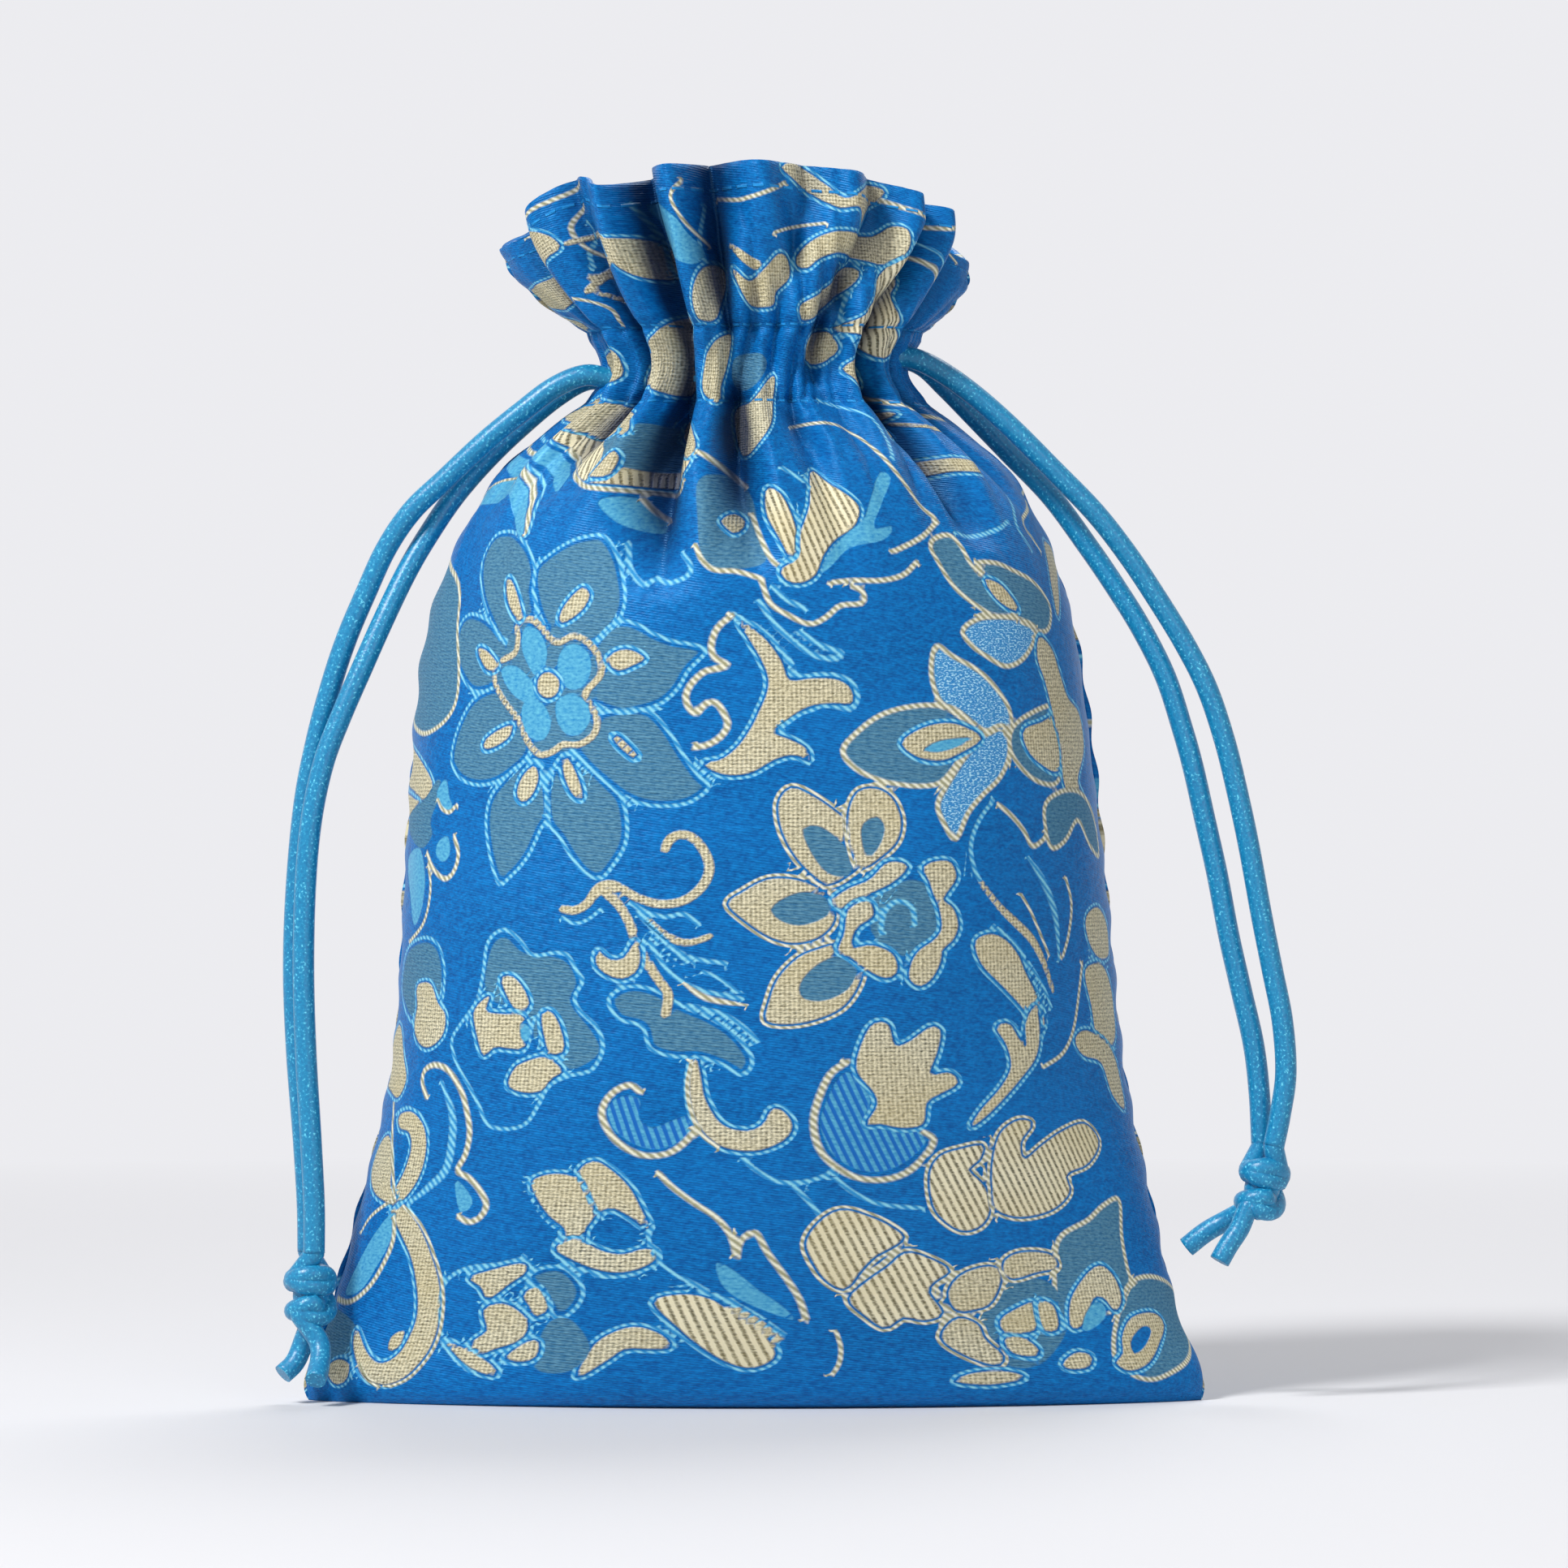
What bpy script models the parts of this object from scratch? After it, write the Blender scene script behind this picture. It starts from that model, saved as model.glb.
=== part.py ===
# Kinchaku: a Japanese drawstring pouch of woven brocade, drawn shut and standing on its base.
#
# Two panels of cloth are sewn together down both sides and along the bottom. A casing runs
# round the neck, and two cords lie in it, one above the other. Each cord comes out of one
# side seam, and its two ends are tied in one knot. Above the casing the cloth opens into a
# ruffle. Metres, +Z up, front of the pouch towards -Y, origin on the floor under its middle.

from math import cos, pi, sin

import bmesh
import bpy
from mathutils import Euler, Matrix, Vector

MM = 0.001

# Heights
POUCH_HEIGHT = 0.1482
RUFFLE_HEIGHT = 0.0236

# Widths, side seam to side seam
BASE_WIDTH = 0.1100
HEEL_WIDTH = 0.0980
WAIST_WIDTH = 0.0884
BELLY_WIDTH = 0.0852
CHEST_WIDTH = 0.0806
SHOULDER_WIDTH = 0.0750
GATHER_WIDTH = 0.0630
RUFFLE_WIDTH = 0.0570

# Depths, front to back
BASE_DEPTH = 0.0270
HEEL_DEPTH = 0.0400
WAIST_DEPTH = 0.0490
BELLY_DEPTH = 0.0530
SHOULDER_DEPTH = 0.0520
GATHER_DEPTH = 0.0450
RUFFLE_DEPTH = 0.0390

# Cloth, seams and cords
CLOTH_THICKNESS = 0.0011
SEAM_GAP = 0.0003
CORD_DIAMETER = 0.0026
CORD_PLAY = 0.0005
CORD_GAP = 0.0003
NECK_LOOP_WIDTH = 0.0264
NECK_LOOP_DEPTH = 0.0148
NECK_FOLD = 0.0020
FOLD_DEPTH = 0.0070
NECK_FLARE = 0.0026
EXIT_WIDTH = 0.0084

# Small shaping sizes
EAR_ROUNDING = 0.0010
EAR_TUCK = 0.0017
RUFFLE_LEAN = 0.0025
KNOT_WIDTH = 0.0070
KNOT_DEPTH = 0.0066
KNOT_HEIGHT = 0.0092
KNOT_GAP = 0.0006
KNOT_WRAP_TILT = 0.55

# Gathers, as creases between rounded hills. A crease wanders a little on its way up, so it
# has a place across the panel, from the left seam (0) to the right seam (1), on the body, in
# the casing and at the hem. Then come its depth just under the casing, as a share of
# FOLD_DEPTH, the share of the body's height where it fades out, and its depth in the ruffle.
FRONT_CREASES = (
    (0.110, 0.120, 0.110, 0.29, 0.881, 0.37),
    (0.240, 0.230, 0.240, 0.37, 0.890, 0.43),
    (0.410, 0.360, 0.352, 1.00, 0.798, 1.07),
    (0.505, 0.450, 0.462, 0.79, 0.815, 0.93),
    (0.580, 0.540, 0.600, 0.26, 0.931, 0.37),
    (0.650, 0.630, 0.715, 0.20, 0.940, 0.49),
    (0.765, 0.740, 0.825, 0.86, 0.848, 0.51),
    (0.890, 0.875, 0.920, 0.29, 0.890, 0.34),
)
BACK_CREASES = (
    (0.105, 0.120, 0.100, 0.29, 0.881, 0.37),
    (0.225, 0.240, 0.210, 0.69, 0.823, 0.66),
    (0.350, 0.360, 0.330, 0.34, 0.898, 0.51),
    (0.455, 0.465, 0.450, 0.89, 0.790, 0.86),
    (0.555, 0.560, 0.570, 0.31, 0.923, 0.49),
    (0.660, 0.650, 0.680, 0.77, 0.815, 0.74),
    (0.780, 0.760, 0.790, 0.40, 0.873, 0.51),
    (0.895, 0.880, 0.905, 0.31, 0.881, 0.37),
)

# How far the hem lies below the top of the pouch, from the left seam to the right seam, as a
# share of the ruffle's height
FRONT_HEM_DROP = (
    (0.00, 0.398),
    (0.07, 0.364),
    (0.13, 0.288),
    (0.26, 0.059),
    (0.31, 0.114),
    (0.38, 0.025),
    (0.52, 0.000),
    (0.69, 0.055),
    (0.80, 0.153),
    (0.88, 0.229),
    (0.92, 0.390),
    (1.00, 0.466),
)
BACK_HEM_DROP = (
    (0.00, 0.398),
    (0.10, 0.263),
    (0.22, 0.093),
    (0.31, 0.051),
    (0.45, 0.093),
    (0.60, 0.034),
    (0.76, 0.127),
    (0.88, 0.271),
    (1.00, 0.466),
)

# Free stretches of the cords, from the casing down to the knot: across and back in
# millimetres, and height as a share of the casing's. One end of each cord leaves the front
# half of the casing and the other end leaves the back half. The last place, with no height,
# is where the strand meets its knot.
LEFT_FRONT_STRAND = (
    (-17.0, -1.7, 0.9888), (-20.4, -1.8, 0.9928), (-24.2, -1.9, 0.9807), (-28.2, -1.9, 0.9567),
    (-32.6, -1.8, 0.9278), (-37.3, -1.6, 0.8925), (-41.3, -1.4, 0.8620), (-44.4, -1.2, 0.8258),
    (-46.9, -1.1, 0.7825), (-49.3, -1.1, 0.7368), (-51.2, -1.2, 0.6902), (-52.9, -1.5, 0.6380),
    (-54.3, -2.0, 0.5778), (-55.2, -2.6, 0.4976), (-55.5, -3.1, 0.4173), (-55.1, -3.4, 0.3371),
    (-54.3, -3.7, 0.2568), (-53.8, -3.8, 0.1926),
)
LEFT_FRONT_END = (-53.7, -3.8)
LEFT_BACK_STRAND = (
    (-17.0, 1.7, 0.9888), (-20.4, 1.8, 0.9896), (-24.0, 1.8, 0.9735), (-28.0, 1.8, 0.9470),
    (-32.2, 1.7, 0.9149), (-36.2, 1.4, 0.8780), (-39.4, 0.3, 0.8395), (-42.0, -1.0, 0.8026),
    (-44.7, -2.6, 0.7560), (-47.2, -3.8, 0.7095), (-49.8, -4.7, 0.6605), (-51.8, -5.3, 0.6164),
    (-53.2, -5.8, 0.5618), (-53.9, -6.1, 0.4976), (-54.1, -6.4, 0.4173), (-53.8, -6.6, 0.3371),
    (-53.2, -6.8, 0.2568), (-52.8, -6.9, 0.1926),
)
LEFT_BACK_END = (-52.8, -6.9)
RIGHT_FRONT_STRAND = (
    (17.0, -1.7, 1.0112), (19.8, -1.8, 1.0072), (23.0, -1.9, 0.9936), (26.7, -1.9, 0.9719),
    (31.0, -1.8, 0.9414), (36.0, -1.6, 0.9013), (41.0, -1.3, 0.8604), (45.0, -1.1, 0.8194),
    (48.6, -1.0, 0.7761), (51.9, -1.0, 0.7327), (54.6, -1.1, 0.6894), (56.7, -1.2, 0.6388),
    (58.2, -1.3, 0.5899), (59.6, -1.5, 0.5369), (61.1, -1.7, 0.4703), (62.4, -1.9, 0.4173),
    (63.6, -2.1, 0.3676), (64.0, -2.3, 0.3178), (63.3, -2.6, 0.2777),
)
RIGHT_FRONT_END = (62.5, -2.8)
RIGHT_BACK_STRAND = (
    (17.0, 1.7, 1.0112), (20.2, 1.9, 1.0040), (23.2, 2.8, 0.9823), (26.2, 3.9, 0.9583),
    (30.6, 4.8, 0.9222), (35.9, 4.6, 0.8780), (40.4, 3.4, 0.8283), (43.8, 2.2, 0.7873),
    (46.9, 1.5, 0.7464), (49.7, 1.1, 0.7006), (51.7, 0.9, 0.6509), (53.0, 0.8, 0.6132),
    (54.4, 0.8, 0.5634), (55.9, 0.7, 0.5096), (57.3, 0.6, 0.4502), (58.8, 0.6, 0.3973),
    (60.3, 0.7, 0.3443), (61.0, 0.8, 0.2970),
)
RIGHT_BACK_END = (61.3, 0.7)

# Knots: the middle, given as the strands are, and the way that each tail takes from there,
# in millimetres
LEFT_KNOT_MIDDLE = (-53.3, -5.3, 0.1043)
LEFT_KNOT_LEAN = 0.0
LEFT_KNOT_TAILS = (
    ((-0.3, 0.3, -2.5), (-0.9, 0.3, -5.6), (-1.9, -0.1, -8.0), (-3.3, -0.9, -9.4)),
    ((0.5, -0.7, -2.5), (1.1, -2.1, -5.4), (1.3, -3.7, -8.0), (0.9, -5.5, -9.8)),
)
RIGHT_KNOT_MIDDLE = (61.2, -1.2, 0.2055)
RIGHT_KNOT_LEAN = 0.16
RIGHT_KNOT_TAILS = (
    ((-1.0, 0.8, -1.6), (-3.8, 1.4, -3.7), (-6.6, 1.8, -5.3), (-9.0, 2.1, -7.2)),
    ((-0.8, -1.4, -2.0), (-2.8, -2.0, -4.6), (-4.2, -2.4, -6.7), (-5.3, -2.7, -8.6)),
)

# Mesh fineness
CREASE_STEPS = 3
LOOP_SIDES = 48
LOOP_STEPS = 30
LOOP_OPENING = 0.14
STRAND_STEP = 2.1

# Sizes worked out from those above
CASING_HEIGHT = POUCH_HEIGHT - RUFFLE_HEIGHT
CORD_RADIUS = CORD_DIAMETER / 2
TUNNEL_HALF_WIDTH = CORD_RADIUS + CORD_PLAY
CORD_OFFSET = CORD_RADIUS + CORD_GAP / 2
TUNNEL_HALF_HEIGHT = CORD_OFFSET + TUNNEL_HALF_WIDTH
CASING_HALF_HEIGHT = TUNNEL_HALF_HEIGHT + CLOTH_THICKNESS
CASING_BOTTOM = CASING_HEIGHT - CASING_HALF_HEIGHT
CASING_TOP = CASING_HEIGHT + CASING_HALF_HEIGHT
NECK_OUTER = TUNNEL_HALF_WIDTH + CLOTH_THICKNESS + NECK_FOLD
NECK_INNER = TUNNEL_HALF_WIDTH + CLOTH_THICKNESS
NECK_HALF_WIDTH = NECK_LOOP_WIDTH / 2 + NECK_OUTER
NECK_HALF_DEPTH = NECK_LOOP_DEPTH / 2 + NECK_OUTER

# Body sections: share of the height up to the casing, half width, half depth, and how
# pointed the section is at the side seams (1 is an ellipse, more is a lens).
BODY_SECTIONS = (
    (0.000, BASE_WIDTH / 2 - EAR_ROUNDING, BASE_DEPTH / 2, 1.55),
    (0.022, BASE_WIDTH / 2, BASE_DEPTH / 2 + CLOTH_THICKNESS, 1.50),
    (0.052, BASE_WIDTH / 2 - EAR_TUCK, BASE_DEPTH / 2 + 2 * CLOTH_THICKNESS, 1.45),
    (0.185, HEEL_WIDTH / 2, HEEL_DEPTH / 2, 1.30),
    (0.370, WAIST_WIDTH / 2, WAIST_DEPTH / 2, 1.12),
    (0.560, BELLY_WIDTH / 2, BELLY_DEPTH / 2, 1.04),
    (0.760, CHEST_WIDTH / 2, BELLY_DEPTH / 2, 1.00),
    (0.842, SHOULDER_WIDTH / 2, SHOULDER_DEPTH / 2, 1.00),
    (0.930, GATHER_WIDTH / 2, GATHER_DEPTH / 2, 1.00),
    (1.000, NECK_HALF_WIDTH + NECK_FLARE, NECK_HALF_DEPTH + NECK_FLARE / 2, 1.00),
)

BODY_ROWS = (
    0.0, 0.010, 0.030, 0.060, 0.120, 0.200, 0.310, 0.440,
    0.580, 0.710, 0.800, 0.855, 0.900, 0.940, 0.972, 1.0,
)
RUFFLE_ROWS = (0.20, 0.42, 0.65, 0.85, 1.0)

BROCADE_BLUE = (0.020, 0.135, 0.480, 1.0)
BROCADE_BLUE_BACK = (0.018, 0.120, 0.430, 1.0)
CORD_TURQUOISE = (0.010, 0.270, 0.500, 1.0)
KNOT_TURQUOISE = (0.012, 0.300, 0.540, 1.0)


def clear_scene():
    for old in list(bpy.data.objects):
        bpy.data.objects.remove(old, do_unlink=True)


def material(name, colour, roughness):
    made = bpy.data.materials.new(name)
    made.use_nodes = True
    shader = made.node_tree.nodes["Principled BSDF"]
    shader.inputs["Base Color"].default_value = colour
    shader.inputs["Roughness"].default_value = roughness
    shader.inputs["Metallic"].default_value = 0.0
    made.diffuse_color = colour
    return made


def new_object(name, mesh, finish=None):
    made = bpy.data.objects.new(name, mesh)
    bpy.context.scene.collection.objects.link(made)
    if finish is not None:
        mesh.materials.append(finish)
    return made


def as_helper(helper):
    """A cutter or an added lump, which isn't a piece of its own."""
    helper.hide_render = True
    helper.display_type = 'WIRE'
    return helper


def combine(target, helper, operation):
    modifier = target.modifiers.new(helper.name, 'BOOLEAN')
    modifier.object = helper
    modifier.operation = operation
    modifier.solver = 'EXACT'


def smooth_between(keys, place):
    """A curve through (place, value) keys that never overshoots them."""
    if place <= keys[0][0]:
        return keys[0][1]
    if place >= keys[-1][0]:
        return keys[-1][1]
    slopes = [(b[1] - a[1]) / (b[0] - a[0]) for a, b in zip(keys, keys[1:])]
    index = next(i for i in range(len(slopes)) if place <= keys[i + 1][0])

    def tangent(key):
        if key == 0:
            return slopes[0]
        if key == len(slopes):
            return slopes[-1]
        before, after = slopes[key - 1], slopes[key]
        if before * after <= 0:
            return 0.0
        return 2 * before * after / (before + after)

    span = keys[index + 1][0] - keys[index][0]
    t = (place - keys[index][0]) / span
    start, end = keys[index][1], keys[index + 1][1]
    return (
        (1 + 2 * t) * (1 - t) ** 2 * start
        + t * (1 - t) ** 2 * span * tangent(index)
        + t * t * (3 - 2 * t) * end
        - t * t * (1 - t) * span * tangent(index + 1)
    )


def mix(a, b, share):
    return a + (b - a) * share


def crease_place(crease, height):
    """Where one crease lies across the panel at a height."""
    body_place, casing_place, hem_place = crease[:3]
    keys = (
        (crease[4] * CASING_BOTTOM, body_place),
        (CASING_BOTTOM, mix(casing_place, body_place, 0.2)),
        (CASING_HEIGHT, casing_place),
        (mix(CASING_TOP, POUCH_HEIGHT, 0.8), hem_place),
    )
    return smooth_between(keys, height)


def crease_depth(crease, height):
    """How deep one crease is at a height, from the body up through the casing to the hem."""
    shoulder_depth, ruffle_depth = crease[3] * FOLD_DEPTH, crease[5] * FOLD_DEPTH
    fade_height = crease[4] * CASING_BOTTOM
    keys = (
        (fade_height, 0.0),
        (mix(fade_height, CASING_BOTTOM, 0.7), shoulder_depth),
        (CASING_BOTTOM, mix(NECK_FOLD, shoulder_depth, 0.3)),
        (CASING_HEIGHT, NECK_FOLD),
        (CASING_TOP, mix(NECK_FOLD, ruffle_depth, 0.3)),
        (mix(CASING_TOP, POUCH_HEIGHT, 0.45), ruffle_depth),
    )
    return smooth_between(keys, height)


def turns(creases, height):
    """The hill tops and crease bottoms in order across the panel, with their depths."""
    places = [crease_place(crease, height) for crease in creases]
    depths = [crease_depth(crease, height) for crease in creases]
    hills = [0.0] + [(a + b) / 2 for a, b in zip(places, places[1:])] + [1.0]
    found = [(hills[0], 0.0)]
    for place, depth, hill in zip(places, depths, hills[1:]):
        found += [(place, depth), (hill, 0.0)]
    return found


def columns(creases, height):
    """Places across a row and the cloth's depth below its hills there, eased like a wave.

    Each hill top and each crease bottom gets a column of its own.
    """
    found = []
    ends = turns(creases, height)
    for (start, start_depth), (end, end_depth) in zip(ends, ends[1:]):
        for step in range(CREASE_STEPS):
            share = step / CREASE_STEPS
            ease = (1 - cos(pi * share)) / 2
            found.append((mix(start, end, share), mix(start_depth, end_depth, ease)))
    return found + [ends[-1]]


def ring_point(across, half_width, half_depth, pointed):
    """A point of a level section and the way out of the cloth there, for the front half."""
    turn = pi * across
    x = -half_width * cos(turn)
    y = -half_depth * sin(turn) ** pointed if 0 < across < 1 else 0.0
    out = Vector((x / half_width ** 2, y / max(half_depth, MM) ** 2, 0.0))
    return Vector((x, y, 0.0)), out.normalized()


def body_row(creases, share, inner):
    height = share * CASING_BOTTOM
    half_width = smooth_between([(s, w) for s, w, d, p in BODY_SECTIONS], share)
    half_depth = smooth_between([(s, d) for s, w, d, p in BODY_SECTIONS], share)
    pointed = smooth_between([(s, p) for s, w, d, p in BODY_SECTIONS], share)
    lift = 0.0
    if inner:
        half_width -= CLOTH_THICKNESS
        half_depth -= CLOTH_THICKNESS
        lift = CLOTH_THICKNESS * (1 - share)
    row = []
    for across, depth in columns(creases, height):
        point, out = ring_point(across, half_width, half_depth, pointed)
        point -= out * depth
        point.z = height + lift
        row.append(point)
    return row


def neck_hole_row(creases, height):
    """The inner wall of the casing, kept plain so that the neck stays open."""
    half_width = NECK_LOOP_WIDTH / 2 - NECK_INNER
    half_depth = NECK_LOOP_DEPTH / 2 - NECK_INNER
    row = []
    for across, _ in columns(creases, height):
        point, _ = ring_point(across, half_width, half_depth, 1.0)
        point.z = height
        row.append(point)
    return row


def casing_row(creases, share):
    height = mix(CASING_HEIGHT, CASING_TOP, share)
    flare = NECK_FLARE * share
    row = []
    for across, depth in columns(creases, height):
        point, out = ring_point(across, NECK_HALF_WIDTH + flare, NECK_HALF_DEPTH + flare, 1.0)
        point -= out * depth
        point.z = height
        row.append(point)
    return row


def ruffle_row(creases, hem_drop, share, inner):
    spread = sin(share * pi / 2)
    half_width = mix(NECK_HALF_WIDTH + NECK_FLARE, RUFFLE_WIDTH / 2, spread)
    half_depth = mix(NECK_HALF_DEPTH + NECK_FLARE, RUFFLE_DEPTH / 2, spread)
    if inner:
        half_width -= CLOTH_THICKNESS
        half_depth -= CLOTH_THICKNESS
    row = []
    for across, depth in columns(creases, mix(CASING_TOP, POUCH_HEIGHT, share)):
        point, out = ring_point(across, half_width, half_depth, 1.0)
        point -= out * depth
        point.x -= RUFFLE_LEAN * share
        hem_height = POUCH_HEIGHT - RUFFLE_HEIGHT * smooth_between(hem_drop, across)
        point.z = mix(CASING_TOP, hem_height, share)
        row.append(point)
    return row


def floor_seam_row(creases, inner):
    """The bottom seam, where the panel turns from the floor to its neighbour."""
    half_width = BASE_WIDTH / 2 - EAR_ROUNDING - CLOTH_THICKNESS
    if inner:
        half_width -= CLOTH_THICKNESS
    row = []
    for across, _ in columns(creases, 0.0):
        point, _ = ring_point(across, half_width, 0.0, 1.0)
        point.z = CLOTH_THICKNESS if inner else 0.0
        row.append(point)
    return row


def panel_skin(creases, hem_drop, inner):
    """Rows of points of one face of the cloth, from the bottom seam up to the hem."""
    rows = [floor_seam_row(creases, inner)]
    rows += [body_row(creases, share, inner) for share in BODY_ROWS[:-1]]
    if inner:
        rows += [neck_hole_row(creases, z) for z in (CASING_BOTTOM, CASING_HEIGHT, CASING_TOP)]
    else:
        rows.append(body_row(creases, BODY_ROWS[-1], inner))
        rows += [casing_row(creases, share) for share in (0.0, 1.0)]
    rows += [ruffle_row(creases, hem_drop, share, inner) for share in RUFFLE_ROWS]
    return rows


def panel(name, side, creases, hem_drop, finish):
    """One sewn panel. Side is -1 for the front and +1 for the back."""
    mesh = bpy.data.meshes.new(name)
    bm = bmesh.new()
    skins = []
    for inner in (False, True):
        grid = []
        for row in panel_skin(creases, hem_drop, inner):
            places = [Vector((p.x, -side * p.y + side * SEAM_GAP / 2, p.z)) for p in row]
            grid.append([bm.verts.new(place) for place in places])
        skins.append(grid)
    outer, inner = skins
    top, end = len(outer) - 1, len(outer[0]) - 1
    for r in range(top):
        for c in range(end):
            bm.faces.new((outer[r][c], outer[r][c + 1], outer[r + 1][c + 1], outer[r + 1][c]))
            bm.faces.new((inner[r][c], inner[r + 1][c], inner[r + 1][c + 1], inner[r][c + 1]))
        bm.faces.new((outer[r][0], outer[r + 1][0], inner[r + 1][0], inner[r][0]))
        bm.faces.new((outer[r][end], inner[r][end], inner[r + 1][end], outer[r + 1][end]))
    for c in range(end):
        bm.faces.new((outer[0][c], inner[0][c], inner[0][c + 1], outer[0][c + 1]))
        bm.faces.new((outer[top][c], outer[top][c + 1], inner[top][c + 1], inner[top][c]))
    bmesh.ops.recalc_face_normals(bm, faces=bm.faces)
    bm.to_mesh(mesh)
    bm.free()
    mesh.shade_smooth()
    mesh.set_sharp_from_angle(angle=pi / 3)
    return new_object(name, mesh, finish)


def tunnel_cutter():
    """The room for both cords inside the casing, a ring with rounded corners."""
    mesh = bpy.data.meshes.new("casing_tunnel")
    bm = bmesh.new()
    wide, tall, corner = TUNNEL_HALF_WIDTH, TUNNEL_HALF_HEIGHT, CORD_RADIUS / 2
    section = (
        (wide, tall - corner), (wide - corner, tall), (corner - wide, tall), (-wide, tall - corner),
        (-wide, corner - tall), (corner - wide, -tall), (wide - corner, -tall), (wide, corner - tall),
    )
    rings = []
    for step in range(LOOP_SIDES):
        turn = 2 * pi * (step + 0.5) / LOOP_SIDES
        middle = Vector((NECK_LOOP_WIDTH / 2 * cos(turn), NECK_LOOP_DEPTH / 2 * sin(turn), CASING_HEIGHT))
        out = Vector((cos(turn) / NECK_LOOP_WIDTH, sin(turn) / NECK_LOOP_DEPTH, 0)).normalized()
        rings.append([bm.verts.new(middle + out * o + Vector((0, 0, up))) for o, up in section])
    for a, b in zip(rings, rings[1:] + rings[:1]):
        for i in range(len(section)):
            j = (i + 1) % len(section)
            bm.faces.new((a[i], b[i], b[j], a[j]))
    bmesh.ops.recalc_face_normals(bm, faces=bm.faces)
    bm.to_mesh(mesh)
    bm.free()
    return as_helper(new_object("casing_tunnel", mesh))


def exit_cutter(name, side, height):
    """The slit in one side seam where both ends of a cord come out of the casing."""
    mesh = bpy.data.meshes.new(name)
    bm = bmesh.new()
    start = NECK_LOOP_WIDTH / 2 - TUNNEL_HALF_WIDTH
    finish = NECK_HALF_WIDTH + 3 * NECK_FLARE
    size = Vector((finish - start, EXIT_WIDTH, 2 * TUNNEL_HALF_WIDTH))
    middle = Vector((side * (start + finish) / 2, 0, height))
    bmesh.ops.create_cube(bm, size=1.0, matrix=Matrix.LocRotScale(middle, None, size))
    bm.to_mesh(mesh)
    bm.free()
    return as_helper(new_object(name, mesh))


def smooth_route(points, step):
    """Points about one step apart on a smooth curve through a cord's own points."""
    padded = [2 * points[0] - points[1]] + points + [2 * points[-1] - points[-2]]
    found = []
    for a, b, c, d in zip(padded, padded[1:], padded[2:], padded[3:]):
        count = max(1, round((c - b).length / step))
        for index in range(count):
            t = index / count
            found.append(0.5 * (
                2 * b + (c - a) * t + (2 * a - 5 * b + 4 * c - d) * t * t
                + (3 * b - a - 3 * c + d) * t ** 3
            ))
    return found + [points[-1]]


def neck_loop(side, height):
    """The cord's way round the neck, from the front strand to the back strand."""
    opening = pi * LOOP_OPENING
    found = []
    for step in range(LOOP_STEPS + 1):
        turn = mix(opening, 2 * pi - opening, step / LOOP_STEPS)
        x = side * NECK_LOOP_WIDTH / 2 * cos(turn)
        found.append(Vector((x, -NECK_LOOP_DEPTH / 2 * sin(turn), height)))
    return found


def on_route(across, back, height_share):
    return Vector((across * MM, back * MM, height_share * CASING_HEIGHT))


def strand(places, end, knot_middle):
    """One free stretch of a cord, which ends just above its knot."""
    knot_top = on_route(*knot_middle).z + KNOT_HEIGHT / 2 + KNOT_GAP
    return [on_route(*place) for place in places] + [Vector((end[0] * MM, end[1] * MM, knot_top))]


def cord(name, side, height, front, back, finish):
    """One cord: up from its knot, once round the neck inside the casing, and back down."""
    loop = neck_loop(side, height)
    front = smooth_route(front[::-1] + [loop[0]], STRAND_STEP * CORD_DIAMETER)
    back = smooth_route([loop[-1]] + back, STRAND_STEP * CORD_DIAMETER)
    route = front[:-1] + loop + back[1:]
    curve = bpy.data.curves.new(name, 'CURVE')
    curve.dimensions = '3D'
    curve.bevel_depth = CORD_RADIUS
    curve.bevel_resolution = 2
    curve.use_fill_caps = True
    spline = curve.splines.new('POLY')
    spline.points.add(len(route) - 1)
    for place, point in zip(route, spline.points):
        point.co = (*place, 1.0)
    curve.materials.append(finish)
    made = bpy.data.objects.new(name, curve)
    bpy.context.scene.collection.objects.link(made)
    return made


def tail(name, middle, points):
    """A short cord end that sticks out of a knot."""
    sides = 7
    mesh = bpy.data.meshes.new(name)
    bm = bmesh.new()
    route = smooth_route([middle + Vector(p) * MM for p in points], CORD_DIAMETER)
    rings = []
    for index, place in enumerate(route):
        ahead = route[min(index + 1, len(route) - 1)] - route[max(index - 1, 0)]
        turned = ahead.to_track_quat('Z', 'Y').to_matrix()
        ring = []
        for step in range(sides):
            turn = 2 * pi * step / sides
            reach = Vector((cos(turn), sin(turn), 0)) * CORD_RADIUS
            ring.append(bm.verts.new(place + turned @ reach))
        rings.append(ring)
    for a, b in zip(rings, rings[1:]):
        for i in range(sides):
            j = (i + 1) % sides
            bm.faces.new((a[i], a[j], b[j], b[i]))
    bm.faces.new(rings[0])
    bm.faces.new(rings[-1])
    bmesh.ops.recalc_face_normals(bm, faces=bm.faces)
    bm.to_mesh(mesh)
    bm.free()
    return as_helper(new_object(name, mesh))


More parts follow.
